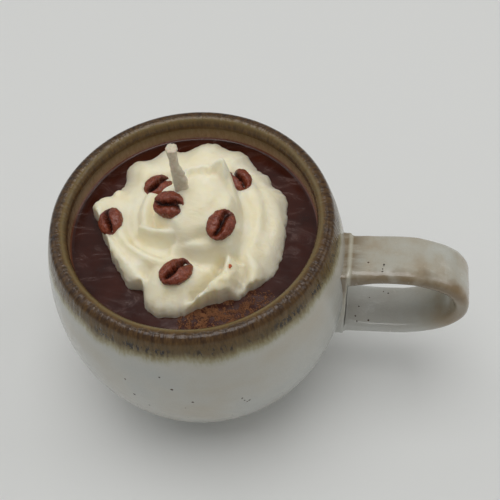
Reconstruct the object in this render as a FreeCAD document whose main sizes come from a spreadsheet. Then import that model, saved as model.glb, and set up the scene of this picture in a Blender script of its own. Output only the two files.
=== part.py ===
"""A candle made to look like a cup of coffee: a round stoneware mug with a strap handle,
filled with brown wax and topped with a whipped-wax dollop, six wax coffee beans and a wick.

Millimetres. The origin is the centre of the foot on the surface the mug stands on,
+Z is up and the handle points along +X.
"""
import FreeCAD, Part
import math
import os
import Sketcher

V = FreeCAD.Vector

# Point numbers that Sketcher gives the ends and the centre of an edge, and the sketch's own axes.
START, END, CENTRE = 1, 2, 3
ORIGIN, ACROSS, UPRIGHT = -1, -1, -2

# Driving sizes: alias, value in millimetres or degrees, what it sets.
SIZES = [
    ("mug_height", 84.0, "foot to the crest of the lip"),
    ("lip_radius", 43.3, "axis to the crest of the lip"),
    ("lip_bead_radius", 2.9, "half the thickness of the rolled lip"),
    ("neck_step", 2.3, "inner wall under the lip, inside of its crest"),
    ("neck_depth", 13.0, "crest of the lip to where the inner wall opens out"),
    ("belly_swell", 8.0, "widest place of the mug, outside of the lip's crest"),
    ("belly_height", 51.0, "height of the widest place"),
    ("wall", 5.0, "wall at the belly"),
    ("foot_radius", 31.0, "outer edge of the foot ring"),
    ("foot_width", 5.0, "width of the foot ring"),
    ("foot_recess", 2.0, "how far the base stands clear inside the ring"),
    ("floor_thickness", 5.0, "base of the mug"),
    ("floor_round", 9.0, "inner corner between floor and wall"),
    ("foot_round", 1.0, "soft edges of the foot ring"),
    ("neck_round", 10.0, "inner corner where the neck meets the belly"),
    ("strap_width", 17.9, "handle across"),
    ("strap_thickness", 4.9, "handle through"),
    ("strap_round", 1.9, "rounded long edges of the handle"),
    ("handle_stand", 41.3, "belly to the outside of the handle"),
    ("handle_height", 47.3, "middle of the handle's roots above the foot"),
    ("handle_spread", 36.4, "outside height of the handle"),
    ("handle_tilt", 6.5, "how much the handle climbs outwards, degrees"),
    ("handle_run", 16.7, "belly to where the handle starts to turn"),
    ("handle_tip_radius", 13.0, "centre-line bend at the end of the handle"),
    ("boss_stand", 0.6, "belly to the flat face that carries the handle"),
    ("boss_depth", 6.0, "how far the handle boss goes into the wall"),
    ("boss_margin", 1.4, "boss beyond the strap, all round"),
    ("boss_draft", 9.0, "slope of the boss's sides, degrees"),
    ("boss_round", 0.6, "soft edge of the boss"),
    ("root_round", 0.7, "clay fillet between strap and boss"),
    ("wax_depth", 9.8, "crest of the lip to the top of the brown wax"),
    ("skirt_gap", 10.0, "brown wax left bare between the whipped wax and the wall, on average"),
    ("skirt_edge", 2.6, "thickness of its thin edge"),
    ("dollop_x", 3.0, "middle of the dollop from the axis, towards the handle"),
    ("dollop_y", 3.0, "middle of the dollop from the axis, across the handle"),
    ("dollop_share", 0.5, "mean radius of the dollop, as a share of the skirt's"),
    ("dollop_root", 8.6, "top of the brown wax to where the dollop's sides begin"),
    ("dollop_shoulder", 19.0, "top of the brown wax to the dollop's shoulder"),
    ("dollop_crown", 22.5, "top of the brown wax to the middle of the dollop"),
    ("bean_length", 11.0, "a middling bean"),
    ("bean_breadth", 9.0, "a middling bean"),
    ("bean_thickness", 5.6, "a middling bean"),
    ("crease_width", 0.85, "half width of the crease in a bean"),
    ("crease_depth", 1.9, "depth of the crease in a bean"),
    ("wick_radius", 1.45, "cotton wick"),
    ("wick_x", -3.2, "wick from the axis towards the handle"),
    ("wick_y", 2.4, "wick from the axis, across the handle"),
    ("wick_stand", 40.5, "top of the brown wax to the top of the wick"),
    ("wick_flare", 0.35, "how much the cut end spreads"),
    ("wick_cut", 4.0, "length of the spread end"),
]

doc = FreeCAD.newDocument("CoffeeCandle")
sheet = doc.addObject("Spreadsheet::Sheet", "Sizes")
for row, (alias, value, note) in enumerate(SIZES, start=1):
    sheet.set("A%d" % row, str(value))
    sheet.setAlias("A%d" % row, alias)
    sheet.set("B%d" % row, note)
doc.recompute()


def size(alias):
    """The present value of a driving size."""
    return float(sheet.get(alias))


def sheetValue(expression):
    """What an expression on the sheet comes to at the moment."""
    return float(sheet.evalExpression(expression.replace("Sizes.", "")))


def bind(sketch, name, expression):
    """Tie a named constraint of a sketch to the sheet."""
    sketch.setExpression("Constraints." + name, expression)


def originPlane(body, role):
    """One of a body's own origin planes."""
    for feature in body.Origin.OriginFeatures:
        if feature.Role == role:
            return feature
    raise ValueError(role)


def newSketch(body, name, role, offset=None):
    """An empty sketch lying on one of the body's origin planes."""
    sketch = body.newObject("Sketcher::SketchObject", name)
    sketch.AttachmentSupport = [(originPlane(body, role), "")]
    sketch.MapMode = "FlatFace"
    if offset:
        sketch.AttachmentOffset = FreeCAD.Placement(V(0, 0, 0), FreeCAD.Rotation())
        sketch.setExpression("AttachmentOffset.Base.z", offset)
    return sketch


def line(sketch, start, end):
    """A straight edge between two points of the sketch; returns its number."""
    return sketch.addGeometry(Part.LineSegment(V(start[0], start[1], 0), V(end[0], end[1], 0)), False)


def arc(sketch, centre, radius, fromDegrees, toDegrees):
    """A counter-clockwise arc; returns its number."""
    circle = Part.Circle(V(centre[0], centre[1], 0), V(0, 0, 1), radius)
    bend = Part.ArcOfCircle(circle, math.radians(fromDegrees), math.radians(toDegrees))
    return sketch.addGeometry(bend, False)


def meet(sketch, first, firstEnd, second, secondEnd, kind="Coincident"):
    """Join the end of one edge to the end of another, with a corner or a smooth run."""
    sketch.addConstraint(Sketcher.Constraint(kind, first, firstEnd, second, secondEnd))


def place(sketch, name, kind, edge, end, expression):
    """A distance of a point from the sketch origin, tied to the sheet."""
    sketch.addConstraint(Sketcher.Constraint(kind, ORIGIN, START, edge, end, sheetValue(expression)))
    label = len(sketch.Constraints) - 1
    sketch.renameConstraint(label, name)
    bind(sketch, name, expression)


def polar(centre, radius, degrees):
    """The point at an angle round a centre."""
    angle = math.radians(degrees)
    return (centre[0] + radius * math.cos(angle), centre[1] + radius * math.sin(angle))


def arcThrough(reach, level, point):
    """Centre and radius of the arc that stands upright at (reach, level) and passes the point."""
    across = reach - point[0]
    along = level - point[1]
    radius = (across ** 2 + along ** 2) / (2 * across)
    return (reach - radius, level), radius


def bearing(centre, point):
    """Angle in degrees from a centre to a point."""
    return math.degrees(math.atan2(point[1] - centre[1], point[0] - centre[0]))


def circleEdges(feature, radius, level):
    """Names of a turned shape's edges that lie at one radius and one height."""
    names = []
    for number, edge in enumerate(feature.Shape.Edges, start=1):
        box = edge.BoundBox
        flat = box.ZLength < 0.01 and abs(box.ZMin - level) < 0.01
        if flat and abs(box.XMax - radius) < 0.01:
            names.append("Edge%d" % number)
    return names


def roundCircle(body, name, radius, level, expression):
    """Round one circular edge of the body's latest feature."""
    base = body.Tip
    fillet = body.newObject("PartDesign::Fillet", name)
    fillet.Base = (base, circleEdges(base, radius, level))
    fillet.setExpression("Radius", expression)
    doc.recompute()
    return fillet


# ---------------------------------------------------------------- the turned wall, inside and out
BELLY = "Sizes.lip_radius + Sizes.belly_swell"
BELLY_INSIDE = BELLY + " - Sizes.wall"
NECK = "Sizes.lip_radius - Sizes.neck_step"
FLOOR_LEVEL = "Sizes.foot_recess + Sizes.floor_thickness"
NECK_LEVEL = "Sizes.mug_height - Sizes.neck_depth"
WAX_LEVEL = "Sizes.mug_height - Sizes.wax_depth"
FOOT_STEP = "(" + BELLY + " - Sizes.foot_radius)"
INNER_CURVE = "(%s ^ 2 + Sizes.belly_height ^ 2) / (2 * %s) - Sizes.wall" % (FOOT_STEP, FOOT_STEP)

outerCentre, outerRadius = arcThrough(sheetValue(BELLY), size("belly_height"), (size("foot_radius"), 0))
innerRadius = outerRadius - size("wall")
neckPoint = (sheetValue(NECK), sheetValue(NECK_LEVEL))
neckCentre, neckArc = arcThrough(sheetValue(BELLY_INSIDE), size("belly_height"), neckPoint)
floorAngle = -math.degrees(math.asin((size("belly_height") - sheetValue(FLOOR_LEVEL)) / innerRadius))
floorCorner = polar(outerCentre, innerRadius, floorAngle)


def innerWall(sketch):
    """Floor line and the two arcs of the inner wall; returns their numbers, floor first."""
    floor = line(sketch, floorCorner, (0, floorCorner[1]))
    lower = arc(sketch, outerCentre, innerRadius, floorAngle, 0)
    upper = arc(sketch, neckCentre, neckArc, 0, bearing(neckCentre, neckPoint))
    meet(sketch, lower, START, floor, START)
    meet(sketch, lower, END, upper, START, "Tangent")
    sketch.addConstraint(Sketcher.Constraint("Horizontal", floor))
    sketch.addConstraint(Sketcher.Constraint("PointOnObject", floor, END, UPRIGHT))
    place(sketch, "floorLevel", "DistanceY", floor, END, FLOOR_LEVEL)
    place(sketch, "bellyInside", "DistanceX", lower, END, BELLY_INSIDE)
    place(sketch, "bellyLevelInside", "DistanceY", lower, END, "Sizes.belly_height")
    place(sketch, "neckInside", "DistanceX", upper, END, NECK)
    place(sketch, "neckLevel", "DistanceY", upper, END, NECK_LEVEL)
    return floor, lower, upper


def turn(body, sketch):
    """A full turn of a sketch about the mug's axis."""
    revolution = body.newObject("PartDesign::Revolution", sketch.Name + "Turned")
    revolution.Profile = sketch
    revolution.ReferenceAxis = (sketch, ["V_Axis"])
    revolution.Angle = 360
    doc.recompute()
    return revolution


def roundInside(body, prefix):
    """The soft corners of the inner wall, alike on the mug and on the wax that fills it."""
    roundCircle(body, prefix + "FloorRound", floorCorner[0], floorCorner[1], "Sizes.floor_round")
    roundCircle(body, prefix + "NeckRound", neckPoint[0], neckPoint[1], "Sizes.neck_round")


def mugProfile(body):
    """Half section of the mug: foot ring, belly, rolled lip, neck, inner wall and floor."""
    sketch = newSketch(body, "mugSection", "XZ_Plane")
    recess = size("foot_recess")
    foot = size("foot_radius")
    ring = foot - size("foot_width")
    lipCentre = (size("lip_radius"), size("mug_height") - size("lip_bead_radius"))
    bead = size("lip_bead_radius")
    inward = size("belly_swell")
    rise = lipCentre[1] - size("belly_height")
    upperRadius = (inward ** 2 + rise ** 2 - bead ** 2) / (2 * (inward - bead))
    upperCentre = (sheetValue(BELLY) - upperRadius, size("belly_height"))
    lipTurn = bearing(upperCentre, lipCentre)
    neckTurn = 180 + math.degrees(math.acos((lipCentre[0] - neckPoint[0]) / bead))

    under = line(sketch, (0, recess), (ring, recess))
    ringInside = line(sketch, (ring, recess), (ring, 0))
    ringFace = line(sketch, (ring, 0), (foot, 0))
    lower = arc(sketch, outerCentre, outerRadius, bearing(outerCentre, (foot, 0)), 0)
    upper = arc(sketch, upperCentre, upperRadius, 0, lipTurn)
    lip = arc(sketch, lipCentre, bead, lipTurn, neckTurn)
    neck = line(sketch, polar(lipCentre, bead, neckTurn), neckPoint)
    floor, insideLower, insideUpper = innerWall(sketch)
    axis = line(sketch, (0, floorCorner[1]), (0, recess))

    meet(sketch, under, END, ringInside, START)
    meet(sketch, ringInside, END, ringFace, START)
    meet(sketch, ringFace, END, lower, START)
    meet(sketch, lower, END, upper, START, "Tangent")
    meet(sketch, upper, END, lip, START, "Tangent")
    meet(sketch, lip, END, neck, START)
    meet(sketch, neck, END, insideUpper, END)
    meet(sketch, floor, END, axis, START)
    meet(sketch, axis, END, under, START)
    for flat in (under, ringFace):
        sketch.addConstraint(Sketcher.Constraint("Horizontal", flat))
    for upright in (ringInside, neck, axis):
        sketch.addConstraint(Sketcher.Constraint("Vertical", upright))
    sketch.addConstraint(Sketcher.Constraint("PointOnObject", ringFace, START, ACROSS))
    meet(sketch, insideLower, CENTRE, lower, CENTRE)
    place(sketch, "recess", "DistanceY", under, START, "Sizes.foot_recess")
    place(sketch, "ringInside", "DistanceX", ringFace, START, "Sizes.foot_radius - Sizes.foot_width")
    place(sketch, "foot", "DistanceX", ringFace, END, "Sizes.foot_radius")
    place(sketch, "belly", "DistanceX", lower, END, BELLY)
    place(sketch, "bellyLevel", "DistanceY", lower, END, "Sizes.belly_height")
    place(sketch, "bellyCentre", "DistanceY", lower, CENTRE, "Sizes.belly_height")
    place(sketch, "lipReach", "DistanceX", lip, CENTRE, "Sizes.lip_radius")
    place(sketch, "lipLevel", "DistanceY", lip, CENTRE, "Sizes.mug_height - Sizes.lip_bead_radius")
    sketch.addConstraint(Sketcher.Constraint("Radius", lip, bead))
    sketch.renameConstraint(len(sketch.Constraints) - 1, "bead")
    bind(sketch, "bead", "Sizes.lip_bead_radius")
    return sketch


def cavityProfile(body):
    """Half section of the room inside the mug, from its floor up to the lip."""
    sketch = newSketch(body, "cavitySection", "XZ_Plane")
    level = size("mug_height")
    floor, lower, upper = innerWall(sketch)
    edge = line(sketch, neckPoint, (neckPoint[0], level))
    top = line(sketch, (neckPoint[0], level), (0, level))
    axis = line(sketch, (0, level), (0, floorCorner[1]))
    meet(sketch, upper, END, edge, START)
    meet(sketch, edge, END, top, START)
    meet(sketch, top, END, axis, START)
    meet(sketch, axis, END, floor, END)
    sketch.addConstraint(Sketcher.Constraint("Vertical", edge))
    sketch.addConstraint(Sketcher.Constraint("Horizontal", top))
    sketch.addConstraint(Sketcher.Constraint("PointOnObject", top, END, UPRIGHT))
    place(sketch, "bellyCentreInside", "DistanceY", lower, CENTRE, "Sizes.belly_height")
    sketch.addConstraint(Sketcher.Constraint("Radius", lower, innerRadius))
    sketch.renameConstraint(len(sketch.Constraints) - 1, "bellyCurve")
    bind(sketch, "bellyCurve", INNER_CURVE)
    place(sketch, "mouthLevel", "DistanceY", edge, END, "Sizes.mug_height")
    return sketch


# ---------------------------------------------------------------- the handle
BOSS_WIDTH = "Sizes.strap_width + 2 * Sizes.boss_margin"
BOSS_TALL = "Sizes.handle_spread + 2 * Sizes.boss_margin"
BOSS_FACE = BELLY + " + Sizes.boss_stand"
STRAP_START = BOSS_FACE + " - Sizes.boss_depth / 2"
SHOULDER = BELLY + " + Sizes.handle_run"
HALF_SPREAD = "(Sizes.handle_spread - Sizes.strap_thickness) / 2"
LOWER_START = STRAP_START + " + 2 * " + HALF_SPREAD + " * sin(Sizes.handle_tilt * 1 deg)"
TIP_CENTRE = BELLY + " + Sizes.handle_stand - Sizes.strap_thickness / 2 - Sizes.handle_tip_radius"


def roundedRectangle(sketch, width, tall, level, roundness):
    """A rectangle with round corners, upright about the sketch's vertical axis.

    width, tall, level of its middle and roundness are expressions on the sheet.
    """
    reach = sheetValue(width) / 2
    middle = sheetValue(level)
    half = sheetValue(tall) / 2
    radius = sheetValue(roundness)
    sides = []
    corners = []
    for turn, (across, up) in enumerate([(1, -1), (1, 1), (-1, 1), (-1, -1)]):
        centre = (across * (reach - radius), middle + up * (half - radius))
        corners.append(arc(sketch, centre, radius, 90 * turn - 90, 90 * turn))
    for turn in range(4):
        start = sketch.getPoint(corners[turn], END)
        end = sketch.getPoint(corners[(turn + 1) % 4], START)
        sides.append(line(sketch, (start.x, start.y), (end.x, end.y)))
    for turn in range(4):
        meet(sketch, corners[turn], END, sides[turn], START, "Tangent")
        meet(sketch, sides[turn], END, corners[(turn + 1) % 4], START, "Tangent")
    right, top, left, bottom = sides
    for upright in (right, left):
        sketch.addConstraint(Sketcher.Constraint("Vertical", upright))
    for flat in (top, bottom):
        sketch.addConstraint(Sketcher.Constraint("Horizontal", flat))
    for corner in corners[1:]:
        sketch.addConstraint(Sketcher.Constraint("Equal", corners[0], corner))
    sketch.addConstraint(Sketcher.Constraint("Radius", corners[0], radius))
    sketch.renameConstraint(len(sketch.Constraints) - 1, "roundness")
    bind(sketch, "roundness", roundness)
    place(sketch, "rightSide", "DistanceX", right, START, "(%s) / 2" % width)
    place(sketch, "topSide", "DistanceY", top, START, "%s + (%s) / 2" % (level, tall))
    sketch.addConstraint(Sketcher.Constraint("DistanceX", left, START, ORIGIN, START, reach))
    sketch.renameConstraint(len(sketch.Constraints) - 1, "leftSide")
    bind(sketch, "leftSide", "(%s) / 2" % width)
    place(sketch, "bottomSide", "DistanceY", bottom, START, "%s - (%s) / 2" % (level, tall))


def addBoss(body):
    """The flat-faced block on the wall that the handle's two roots are stuck to."""
    sketch = newSketch(body, "bossFace", "YZ_Plane", BOSS_FACE)
    roundedRectangle(sketch, BOSS_WIDTH, BOSS_TALL, "Sizes.handle_height", "Sizes.strap_round")
    pad = body.newObject("PartDesign::Pad", "boss")
    pad.Profile = sketch
    pad.Reversed = True
    pad.setExpression("Length", "Sizes.boss_depth")
    pad.setExpression("TaperAngle", "Sizes.boss_draft")
    doc.recompute()
    return pad


def strapPath(body):
    """Centre line of the handle: out, round the end in three smooth bends, and back."""
    sketch = newSketch(body, "strapPath", "XZ_Plane")
    level = size("handle_height")
    start = sheetValue(STRAP_START)
    half = sheetValue(HALF_SPREAD)
    shoulder = sheetValue(SHOULDER)
    tip = size("handle_tip_radius")
    tipReach = sheetValue(TIP_CENTRE)
    run = tipReach - shoulder
    shoulderRadius = (run ** 2 + half ** 2 - tip ** 2) / (2 * (half - tip))
    tilt = size("handle_tilt")

    def tilted(point):
        angle = math.radians(tilt)
        across = point[0] - start
        up = point[1] - level
        along = start + half * math.sin(angle) + across * math.cos(angle) - up * math.sin(angle)
        return (along, level + across * math.sin(angle) + up * math.cos(angle))

    upperCentre = tilted((shoulder, level + half - shoulderRadius))
    lowerCentre = tilted((shoulder, level - half + shoulderRadius))
    tipCentre = tilted((tipReach, level))
    turn = bearing(upperCentre, tipCentre)
    back = bearing(lowerCentre, tipCentre)
    upperRun = line(sketch, tilted((start, level + half)), tilted((shoulder, level + half)))
    upperBend = arc(sketch, upperCentre, shoulderRadius, turn, 90 + tilt)
    tipBend = arc(sketch, tipCentre, tip, back, turn)
    lowerBend = arc(sketch, lowerCentre, shoulderRadius, tilt - 90, back)
    lowerRun = line(sketch, tilted((shoulder, level - half)), tilted((start, level - half)))
    meet(sketch, upperRun, END, upperBend, END, "Tangent")
    meet(sketch, upperBend, START, tipBend, END, "Tangent")
    meet(sketch, tipBend, START, lowerBend, END, "Tangent")
    meet(sketch, lowerBend, START, lowerRun, START, "Tangent")
    sketch.addConstraint(Sketcher.Constraint("Parallel", upperRun, lowerRun))
    sketch.addConstraint(Sketcher.Constraint("Distance", lowerRun, END, upperRun, 2 * half))
    sketch.renameConstraint(len(sketch.Constraints) - 1, "spread")
    bind(sketch, "spread", "2 * " + HALF_SPREAD)
    sketch.addConstraint(Sketcher.Constraint("Equal", upperRun, lowerRun))
    sketch.addConstraint(Sketcher.Constraint("Equal", upperBend, lowerBend))
    sketch.addConstraint(Sketcher.Constraint("Angle", upperRun, math.radians(tilt)))
    sketch.renameConstraint(len(sketch.Constraints) - 1, "tilt")
    bind(sketch, "tilt", "Sizes.handle_tilt")
    sketch.addConstraint(Sketcher.Constraint("Radius", tipBend, tip))
    sketch.renameConstraint(len(sketch.Constraints) - 1, "tipBend")
    bind(sketch, "tipBend", "Sizes.handle_tip_radius")
    place(sketch, "rootReach", "DistanceX", upperRun, START, STRAP_START)
    place(sketch, "upperRoot", "DistanceY", upperRun, START, "Sizes.handle_height + " + HALF_SPREAD)
    place(sketch, "lowerRootReach", "DistanceX", lowerRun, END, LOWER_START)
    place(sketch, "shoulder", "DistanceX", upperRun, END, SHOULDER)
    place(sketch, "tipReach", "DistanceX", tipBend, CENTRE, TIP_CENTRE)
    return sketch


def addStrap(body):
    """The handle: a strap with rounded edges drawn along its centre line."""
    path = strapPath(body)
    section = newSketch(body, "strapSection", "YZ_Plane", STRAP_START)
    level = "Sizes.handle_height + " + HALF_SPREAD
    roundedRectangle(section, "Sizes.strap_width", "Sizes.strap_thickness", level, "Sizes.strap_round")
    doc.recompute()
    pipe = body.newObject("PartDesign::AdditivePipe", "strap")
    pipe.Profile = section
    pipe.Spine = (path, ["Edge%d" % number for number in range(1, 6)])
    pipe.Mode = "Standard"
    doc.recompute()
    return pipe


def rootEdges(feature):
    """Names of the edges where the strap's two ends stand on the boss's face."""
    face = sheetValue(BOSS_FACE)
    half = size("strap_width") / 2
    low = size("handle_height") - size("handle_spread") / 2 - size("root_round")
    high = size("handle_height") + size("handle_spread") / 2 + size("root_round")
    names = []
    for number, edge in enumerate(feature.Shape.Edges, start=1):
        box = edge.BoundBox
        onFace = box.XLength < 0.001 and abs(box.XMin - face) < 0.001
        onStrap = box.YMin > -half - 0.01 and box.YMax < half + 0.01
        if onFace and onStrap and low < box.ZMin and box.ZMax < high:
            names.append("Edge%d" % number)
    return names


def faceEdges(feature):
    """Names of the edges round the boss's flat face."""
    face = sheetValue(BOSS_FACE)
    names = []
    for number, edge in enumerate(feature.Shape.Edges, start=1):
        box = edge.BoundBox
        if box.XLength < 0.001 and abs(box.XMin - face) < 0.001:
            names.append("Edge%d" % number)
    return names


def roundEdges(body, name, pickEdges, expression):
    """Round a picked set of edges of the body's latest feature."""
    base = body.Tip
    fillet = body.newObject("PartDesign::Fillet", name)
    fillet.Base = (base, pickEdges(base))
    fillet.setExpression("Radius", expression)
    doc.recompute()
    return fillet


def makeMug():
    """The stoneware mug, thrown in one with its boss and handle."""
    body = doc.addObject("PartDesign::Body", "mug")
    body.Label = "mug"
    turn(body, mugProfile(body))
    foot = size("foot_radius")
    roundCircle(body, "footOutside", foot, 0, "Sizes.foot_round")
    roundCircle(body, "footInside", foot - size("foot_width"), 0, "Sizes.foot_round")
    roundInside(body, "mug")
    addBoss(body)
    roundEdges(body, "bossSoftened", faceEdges, "Sizes.boss_round")
    addStrap(body)
    roundEdges(body, "rootSoftened", rootEdges, "Sizes.root_round")
    return body


# ---------------------------------------------------------------- the whipped wax
SKIRT = NECK + " - Sizes.skirt_gap"
DOLLOP = "(" + SKIRT + ") * Sizes.dollop_share"
# The mean radius of the skirt that the lobes below are given for; they grow and shrink with it.
LOBE_SKIRT = 31.0
RING_POINTS = 40

# Bulges and hollows: bearing in degrees, how much in mm, half width in degrees.
# The skirt's edge, seen from above.
SKIRT_LOBES = [
    (172, 4.4, 10), (131, 5.0, 12), (86, 7.0, 19), (47, -1.0, 10), (19, 1.2, 14), (-26, 1.0, 13),
    (-66, -2.4, 13), (-98, 3.4, 11), (-130, -4.2, 20), (-160, -2.6, 11),
]
# Extra height where the skirt's edge stands up as a wall.
WALL_LOBES = [(170, 4.6, 14), (-146, 4.9, 26), (-100, 1.4, 12), (-62, 4.2, 14)]
# How far the middle of the skirt rises or dips.
FIELD_LOBES = [(-165, 1.6, 42), (-100, 1.2, 26), (-58, 1.0, 12), (65, 0.2, 40), (-12, -1.2, 26)]
# The dollop's side, seen from above.
DOLLOP_LOBES = [
    (50, -2.2, 15), (112, -6.2, 36), (156, -3.6, 16), (-144, 3.6, 14),
    (-98, 1.6, 14), (-58, 3.4, 15),
]
# The dollop's shoulder: highest at the back, with a pulled tip, and lowest in front.
SHOULDER_LOBES = [
    (50, 4.6, 11), (104, 3.4, 34), (168, -1.6, 18), (-100, -3.8, 34), (-144, -3.6, 14), (-52, -1.6, 16),
    (6, -2.0, 20),
]

# Rings of the skirt: share of its outline, share of the wall's height.
WALL_RINGS = [(0.965, 0.0), (1.0, 0.42), (0.99, 0.84), (0.955, 1.06)]
# Rings of the skirt's field: share of its outline, share of the climb to the dollop.
FIELD_RINGS = [(0.88, 0.38), (0.78, 0.74)]
# Rings of the dollop: share of its outline, share of the height of its shoulder.
DOLLOP_RINGS = [(1.11, 0.0), (1.04, 0.25), (0.97, 0.6), (0.9, 0.87), (0.76, 1.0)]
CROWN_RING = 0.42


def waves(degrees, lobes):
    """Sum of the lobes at one bearing."""
    total = 0.0
    for peak, height, halfWidth in lobes:
        away = (degrees - peak + 180) % 360 - 180
        total += height * math.exp(-(away / halfWidth) ** 2)
    return total


def ring(centre, reach, level):
    """A closed smooth wire round a centre; reach and level are functions of the bearing."""
    points = []
    for step in range(RING_POINTS):
        degrees = 360 * step / RING_POINTS
        across, along = polar(centre, reach(degrees), degrees)
        points.append(V(across, along, level(degrees)))
    even = [step / RING_POINTS for step in range(RING_POINTS + 1)]
    curve = Part.BSplineCurve()
    curve.interpolate(Points=points, PeriodicFlag=True, Parameters=even)
    return Part.Wire(curve.toShape())


def skirtRings(wax):
    """The broad spread of whipped wax: thin at the back and right, walled in front and left."""
    mean = sheetValue(SKIRT)
    edge = size("skirt_edge")
    climb = size("dollop_root") - edge

    def outline(degrees):
        return mean * (1 + waves(degrees, SKIRT_LOBES) / LOBE_SKIRT)

    rings = []
    for out, up in WALL_RINGS:
        rings.append(ring(
            (0, 0),
            lambda degrees: outline(degrees) * out,
            lambda degrees: wax + (edge + waves(degrees, WALL_LOBES)) * up))
    for out, share in FIELD_RINGS:
        rings.append(ring(
            (0, 0),
            lambda degrees: outline(degrees) * out,
            lambda degrees: wax + edge + climb * share + waves(degrees, FIELD_LOBES)))
    return rings


def dollopRings(wax):
    """The tall dollop in the middle: steep sides, folded shoulders and a pulled tip at the back."""
    centre = (size("dollop_x"), size("dollop_y"))
    root = size("dollop_root")
    crown = size("dollop_crown")

    def outline(degrees):
        return sheetValue(DOLLOP) + sheetValue(SKIRT) * waves(degrees, DOLLOP_LOBES) / LOBE_SKIRT

    def shoulder(degrees):
        return size("dollop_shoulder") + waves(degrees, SHOULDER_LOBES)

    rings = []
    for out, share in DOLLOP_RINGS:
        rings.append(ring(
            centre,
            lambda degrees: outline(degrees) * out,
            lambda degrees: wax + root + (shoulder(degrees) - root) * share))
    rings.append(ring(
        centre,
        lambda degrees: outline(degrees) * CROWN_RING,
        lambda degrees: wax + (shoulder(degrees) + 2 * crown) / 3))
    return rings


def makeWhip():
    """The whole dollop of whipped wax as one skin drawn over its rings, before anything sits in it."""
    wax = sheetValue(WAX_LEVEL)
    top = Part.Vertex(V(size("dollop_x"), size("dollop_y"), wax + size("dollop_crown")))
    return Part.makeLoft(skirtRings(wax) + dollopRings(wax) + [top], True, False, False, 2)


# ---------------------------------------------------------------- the beans
# Where each bean is pressed in (x, y as shares of the skirt's mean radius), bearing of its crease
# in degrees, its length and breadth as shares of a middling bean, and how proud of the whipped
# wax its middle stands in mm.
BEANS = {
    "bean_1": ((-0.430, 0.378), 46, 0.90, 0.92, 0.9),
    "bean_2": ((-0.208, -0.100), 9, 0.98, 0.96, 1.1),
    "bean_3": ((-0.830, -0.115), 100, 0.87, 0.98, 0.9),
    "bean_4": ((0.366, -0.268), 66, 1.00, 0.93, 0.9),
    "bean_5": ((-0.039, -0.697), 46, 1.02, 0.98, 1.0),
    "bean_6": ((0.420, 0.545), 80, 0.87, 0.94, 0.9),
}
BEAN_SECTIONS = 7
BEAN_POINTS = 32
FLAT_SHARE = 0.42
CREASE_SWAY = 0.7
PRESS_REACH = 3.0
PRESS_SHARE = 0.85


def beanSection(along, length, breadth):
    """One cross-section of a bean, with the crease as a cleft in its flatter side."""
    share = math.sqrt(1 - (2 * along / length) ** 2)
    thickness = size("bean_thickness")
    over = thickness * FLAT_SHARE * share
    under = thickness * (1 - FLAT_SHARE) * share
    sway = CREASE_SWAY * math.sin(2 * math.pi * along / length)
    depth = size("crease_depth") * share
    points = []
    for step in range(BEAN_POINTS):
        angle = 2 * math.pi * step / BEAN_POINTS
        across = breadth / 2 * share * math.cos(angle)
        up = math.sin(angle) * (over if math.sin(angle) > 0 else under)
        if math.sin(angle) > 0:
            up -= depth * math.exp(-((across - sway) / size("crease_width")) ** 2)
        points.append(V(along, across, up))
    even = [step / BEAN_POINTS for step in range(BEAN_POINTS + 1)]
    curve = Part.BSplineCurve()
    curve.interpolate(Points=points, PeriodicFlag=True, Parameters=even)
    return Part.Wire(curve.toShape())


def beanShape(length, breadth):
    """A coffee bean lying on its back, its crease upwards along X."""
    sections = []
    for step in range(1, BEAN_SECTIONS + 1):
        along = -length / 2 * math.cos(math.pi * step / (BEAN_SECTIONS + 1))
        sections.append(beanSection(along, length, breadth))
    tail = Part.Vertex(V(-length / 2, 0, 0))
    nose = Part.Vertex(V(length / 2, 0, 0))
    return Part.makeLoft([tail] + sections + [nose], True, False, False, 2)


def topAt(solid, across, along):
    """Height of a solid's top over one spot."""
    low = solid.BoundBox.ZMin
    high = solid.BoundBox.ZMax
    plumb = Part.makeLine(V(across, along, low - 1), V(across, along, high + 1))
    return solid.common(plumb).BoundBox.ZMax


def makeBean(name, whip):
    """One bean pressed into the whipped wax, leaning the way the wax slopes there."""
    (shareX, shareY), bearingOfCrease, longer, broader, proud = BEANS[name]
    across = shareX * sheetValue(SKIRT)
    along = shareY * sheetValue(SKIRT)
    bean = doc.addObject("Part::Feature", name)
    bean.Label = name
    bean.Shape = beanShape(size("bean_length") * longer, size("bean_breadth") * broader)
    slopeX = topAt(whip, across + PRESS_REACH, along) - topAt(whip, across - PRESS_REACH, along)
    slopeY = topAt(whip, across, along + PRESS_REACH) - topAt(whip, across, along - PRESS_REACH)
    outward = V(-slopeX * PRESS_SHARE, -slopeY * PRESS_SHARE, 2 * PRESS_REACH).normalize()
    spot = V(across, along, topAt(whip, across, along)) + outward * proud
    lean = FreeCAD.Rotation(V(0, 0, 1), outward)
    spin = FreeCAD.Rotation(V(0, 0, 1), bearingOfCrease)
    bean.Placement = FreeCAD.Placement(spot, lean * spin)
    return bean


# ---------------------------------------------------------------- the wick
WICK_LENGTH = "Sizes.mug_height - Sizes.wax_depth + Sizes.wick_stand - (" + FLOOR_LEVEL + ")"


def wickCircle(body, name, level, radius):
    """A round section of the wick at one height."""
    sketch = newSketch(body, name, "XY_Plane", level)
    middle = V(size("wick_x"), size("wick_y"), 0)
    circle = sketch.addGeometry(Part.Circle(middle, V(0, 0, 1), sheetValue(radius)), False)
    place(sketch, "across", "DistanceX", circle, CENTRE, "Sizes.wick_x")
    place(sketch, "along", "DistanceY", circle, CENTRE, "Sizes.wick_y")
    sketch.addConstraint(Sketcher.Constraint("Radius", circle, sheetValue(radius)))
    sketch.renameConstraint(len(sketch.Constraints) - 1, "radius")
    bind(sketch, "radius", radius)
    return sketch


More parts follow.
